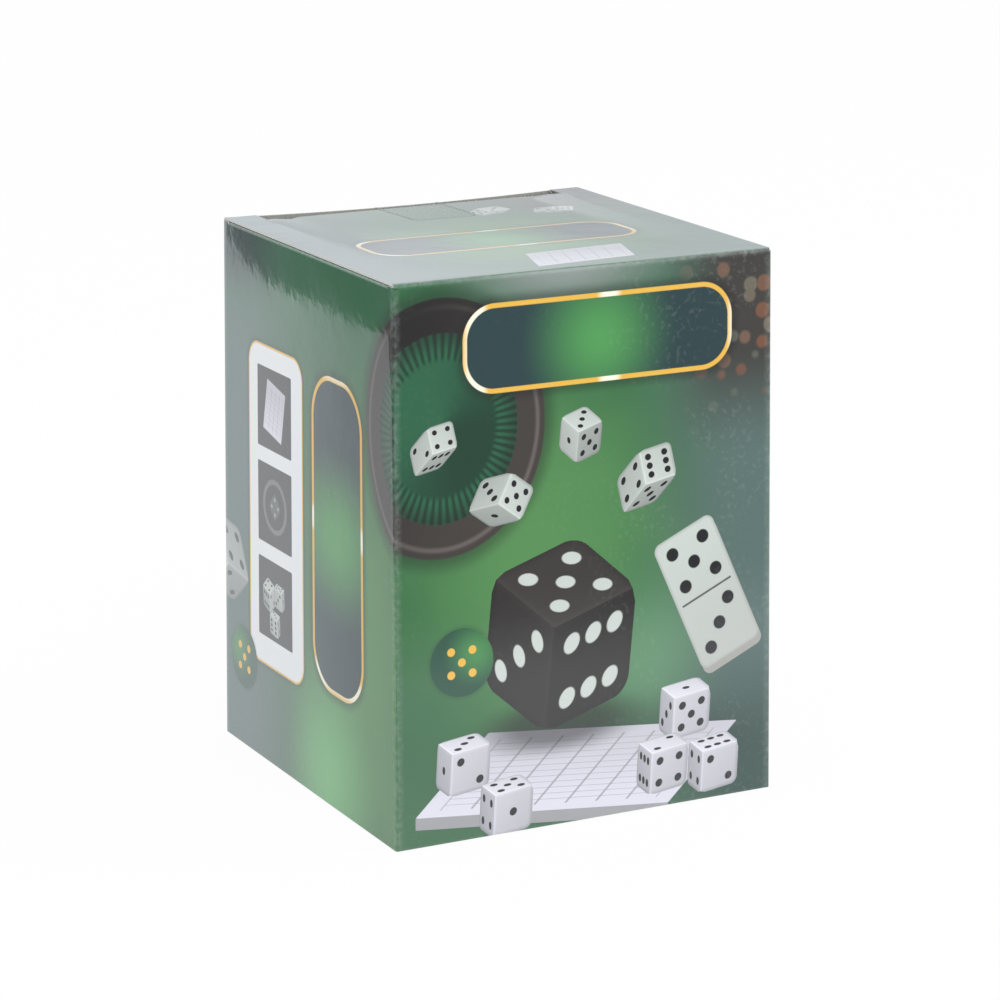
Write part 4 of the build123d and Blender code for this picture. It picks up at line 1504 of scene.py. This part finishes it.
class DICESET_OT_pad(Operator):
    """Finish the score pad: its sheets, ruled top sheet, backing board and glued edge"""
    bl_idname = "diceset.pad"
    bl_label = "Score pad"

    def execute(self, context):
        low, high = box_mm("pad_top_sheet")
        material, n, shader = new_material("pad_ruled_paper")
        place = n.object_mm()
        x, _, z = n.split(place)
        u, v = x - low[0], float(high[2]) - z

        def ruled(value, pitch, width):
            """1 on a line that repeats at a pitch."""
            away = abs(n.math("MODULO", value, pitch) - pitch / 2)
            return n.ramp(away, width, width + 0.08, 1.0, 0.0)

        half_u, _, half_v = (high - low) / 2
        inside = n.use(
            rounded_box(), u=u, v=v, centre_u=half_u, centre_v=half_v + 3.0,
            half_u=half_u - 5.0, half_v=half_v - 7.0, radius=0.1)
        grid = n.larger(ruled(u, 11.0, 0.10), ruled(v, 6.0, 0.10))
        inked = grid * n.ramp(inside, -0.1, 0.1, 1.0, 0.0)
        inked = n.larger(inked, n.ramp(abs(inside), 0.18, 0.3, 1.0, 0.0))
        fibre = n.noise(1.5, place, 4.0)
        paper = n.mix(n.ramp(fibre, 0.3, 0.7), (0.80, 0.80, 0.78), (0.86, 0.86, 0.84))
        n.set(
            shader, Base_Color=n.mix(inked * 0.85, paper, (0.04, 0.05, 0.05)), Roughness=0.7,
            Normal=n.bump(fibre, 0.1, 0.05))
        dress("pad_top_sheet", material)

        material, n, shader = new_material("pad_sheet_edges")
        _, y, z = n.split(n.object_mm())
        leaf = n.noise(9.0, n.fill(n.new("ShaderNodeCombineXYZ"), (0.0, y, z * 0.02)))
        n.set(
            shader, Base_Color=n.mix(n.ramp(leaf, 0.35, 0.65), (0.60, 0.60, 0.58), (0.85, 0.85, 0.83)),
            Roughness=0.75, Normal=n.bump(leaf, 0.5, 0.08))
        dress("pad_sheets", material)

        dress("pad_backing_board", board_material("pad_grey_board", (0.36, 0.34, 0.31), 3.0))
        material, n, shader = new_material("pad_gum")
        coat = n.noise(1.2, n.object_mm(), 3.0)
        n.set(
            shader, Base_Color=n.mix(coat, (0.62, 0.61, 0.56), (0.74, 0.73, 0.68)), Roughness=0.4,
            Normal=n.bump(coat, 0.4, 0.2))
        dress("pad_glue_binding", material)
        return {"FINISHED"}


# The stage

class DICESET_OT_stage(Operator):
    """Set the pale floor, the soft light and the camera"""
    bl_idname = "diceset.stage"
    bl_label = "Stage"

    def execute(self, context):
        scene = context.scene
        settings = scene.diceset_stage
        self.floor()
        self.world(scene)
        self.lamp("key", (-0.25, -1.2, 1.5), 0.9, 12.0)
        self.lamp("fill", (1.3, -0.6, 0.9), 1.0, 6.0)
        azimuth, elevation = math.radians(settings.azimuth), math.radians(settings.elevation)
        level = math.cos(elevation)
        away = Vector((math.sin(azimuth) * level, -math.cos(azimuth) * level, math.sin(elevation)))
        turn = away.to_track_quat("Z", "Y")
        camera = bpy.data.objects.new("camera", bpy.data.cameras.new("camera"))
        camera.data.lens = settings.lens
        camera.data.sensor_width = 36.0
        camera.data.clip_start = 0.05
        camera.data.clip_end = 50.0
        centre = Vector((0, 0, 60 * MM))
        sideways = turn @ Vector((1.866 * MM, -0.697 * MM, 0))
        camera.location = centre + away * settings.distance * MM + sideways
        camera.rotation_mode = "QUATERNION"
        camera.rotation_quaternion = turn
        scene.collection.objects.link(camera)
        scene.camera = camera
        scene.view_settings.view_transform = "Standard"
        return {"FINISHED"}

    def floor(self):
        """A wide white floor: white to the camera, with a soft share of shadow. In reflections it glows
        with a painted reflection: white, dimmed in patches to the left of the carton, in front of it and
        to its front left.
        """
        reach = spread(-6, 6, 25)
        a, b = np.meshgrid(reach, reach, indexing="ij")
        points = np.stack([a, b, np.full_like(a, -0.0002)], axis=2).reshape(-1, 3)
        mesh = bpy.data.meshes.new("floor")
        mesh.from_pydata(points.tolist(), [], grid_faces(25, 25, 0).tolist())
        floor = bpy.data.objects.new("floor", mesh)
        bpy.context.scene.collection.objects.link(floor)
        material, n, shader = new_material("floor_white")
        camera, glossy, through = n.rays()
        x, y, _ = n.split(n.outputs(n.new("ShaderNodeNewGeometry"), "Position"))
        # Painted reflection: for mirrored rays the floor glows white, dimmed in patches to the left of
        # the carton, in front of it and to its front left.
        beyond = n.larger(y - 0.5, 0.0)
        far_left = n.ramp(beyond * beyond * 1.31 + x, -0.2735, -0.2690, 0.22, 1.0)
        ahead = n.ramp(y, -0.23, -0.14, 0.34, 1.0)
        near_corner = n.ramp(x * 2.24 + y, -0.150, -0.080, 0.66, 0.95)
        painted_reflection_share = far_left * n.larger(near_corner, x > -0.044)
        # The painted reflection's colour, faintly blue.
        mirrored = n.dim(painted_reflection_share * ahead, (0.94, 0.97, 1.0))
        glow, blend = n.new("ShaderNodeEmission"), n.new("ShaderNodeMixShader")
        n.set(shader, Base_Color=(0.86, 0.86, 0.86), Roughness=0.9)
        n.set(glow, Color=n.mix(camera, mirrored, WHITE), Strength=1.0)
        seen = n.larger(n.larger(camera * 0.95, glossy), through)
        shown = n.fill(blend, (seen, n.outputs(shader, 0), n.outputs(glow, 0)))
        n.put(shown, material.node_tree.nodes["Material Output"].inputs[0])
        mesh.materials.append(material)

    def world(self, scene):
        """A plain even sky for the object's light, white to the camera. In reflections it is a painted
        reflection: faintly blue, dimmed low down and to one side.
        """
        world = bpy.data.worlds.new("studio")
        scene.world = world
        world.use_nodes = True
        world.node_tree.nodes.clear()
        n = Nodes(world.node_tree)
        camera, glossy, through = n.rays()
        seen = n.larger(n.larger(camera, glossy), through)
        across, _, up = n.split(n.outputs(n.new("ShaderNodeTexCoord"), "Generated"))
        # Painted reflection: only mirrored rays see the sky dimmed low down and to one side; its light
        # stays even.
        panel = n.ramp(up, 0.150, 0.192, 0.76, 1.0) * n.ramp(across, 0.40, 0.51, 1.0, 0.76)
        mirrored = n.dim(panel, (0.93, 0.97, 1.0))
        back = n.new("ShaderNodeBackground")
        n.set(
            back, Color=n.mix(glossy, WHITE, mirrored),
            Strength=n.ramp(seen, 0.0, 1.0, 0.85, 1.0, soft=False))
        n.put(n.outputs(back, 0), n.new("ShaderNodeOutputWorld").inputs[0])

    def lamp(self, name, place, size, power):
        """A square soft lamp that looks at the carton."""
        light = bpy.data.lights.new(name, "AREA")
        light.size = size
        light.energy = power
        lamp = bpy.data.objects.new(name, light)
        lamp.location = place
        lamp.rotation_mode = "QUATERNION"
        lamp.rotation_quaternion = Vector(place).to_track_quat("Z", "Y")
        bpy.context.scene.collection.objects.link(lamp)


OPERATORS = (
    DICESET_OT_stage,
    DICESET_OT_sleeve,
    DICESET_OT_lid,
    DICESET_OT_tuck,
    DICESET_OT_dust_flaps,
    DICESET_OT_seal,
    DICESET_OT_carton_inside,
    DICESET_OT_cup,
    DICESET_OT_dice,
    DICESET_OT_pad,
)


class DICESET_PT_panel(Panel):
    """The sizes and colours of the set, and a button for each piece"""
    bl_idname = "DICESET_PT_panel"
    bl_label = "Dice game set"
    bl_space_type = "VIEW_3D"
    bl_region_type = "UI"
    bl_category = "Dice set"

    def draw(self, context):
        for key, group in SETTINGS.items():
            box = self.layout.box()
            for name in group.__annotations__:
                box.prop(getattr(context.scene, key), name)
        for operator in OPERATORS:
            self.layout.operator(operator.bl_idname)


def register():
    """Registers the settings, the operators and the panel."""
    for group in SETTINGS.values():
        bpy.utils.register_class(group)
    for operator in OPERATORS:
        bpy.utils.register_class(operator)
    bpy.utils.register_class(DICESET_PT_panel)
    for key, group in SETTINGS.items():
        setattr(bpy.types.Scene, key, PointerProperty(type=group))


def unregister():
    """Takes them away again."""
    for key in SETTINGS:
        delattr(bpy.types.Scene, key)
    bpy.utils.unregister_class(DICESET_PT_panel)
    for operator in reversed(OPERATORS):
        bpy.utils.unregister_class(operator)
    for group in reversed(list(SETTINGS.values())):
        bpy.utils.unregister_class(group)


def main():
    """Makes every piece in order."""
    register()
    for operator in OPERATORS:
        area, name = operator.bl_idname.split(".")
        getattr(getattr(bpy.ops, area), name)()


if __name__ == "__main__":
    main()
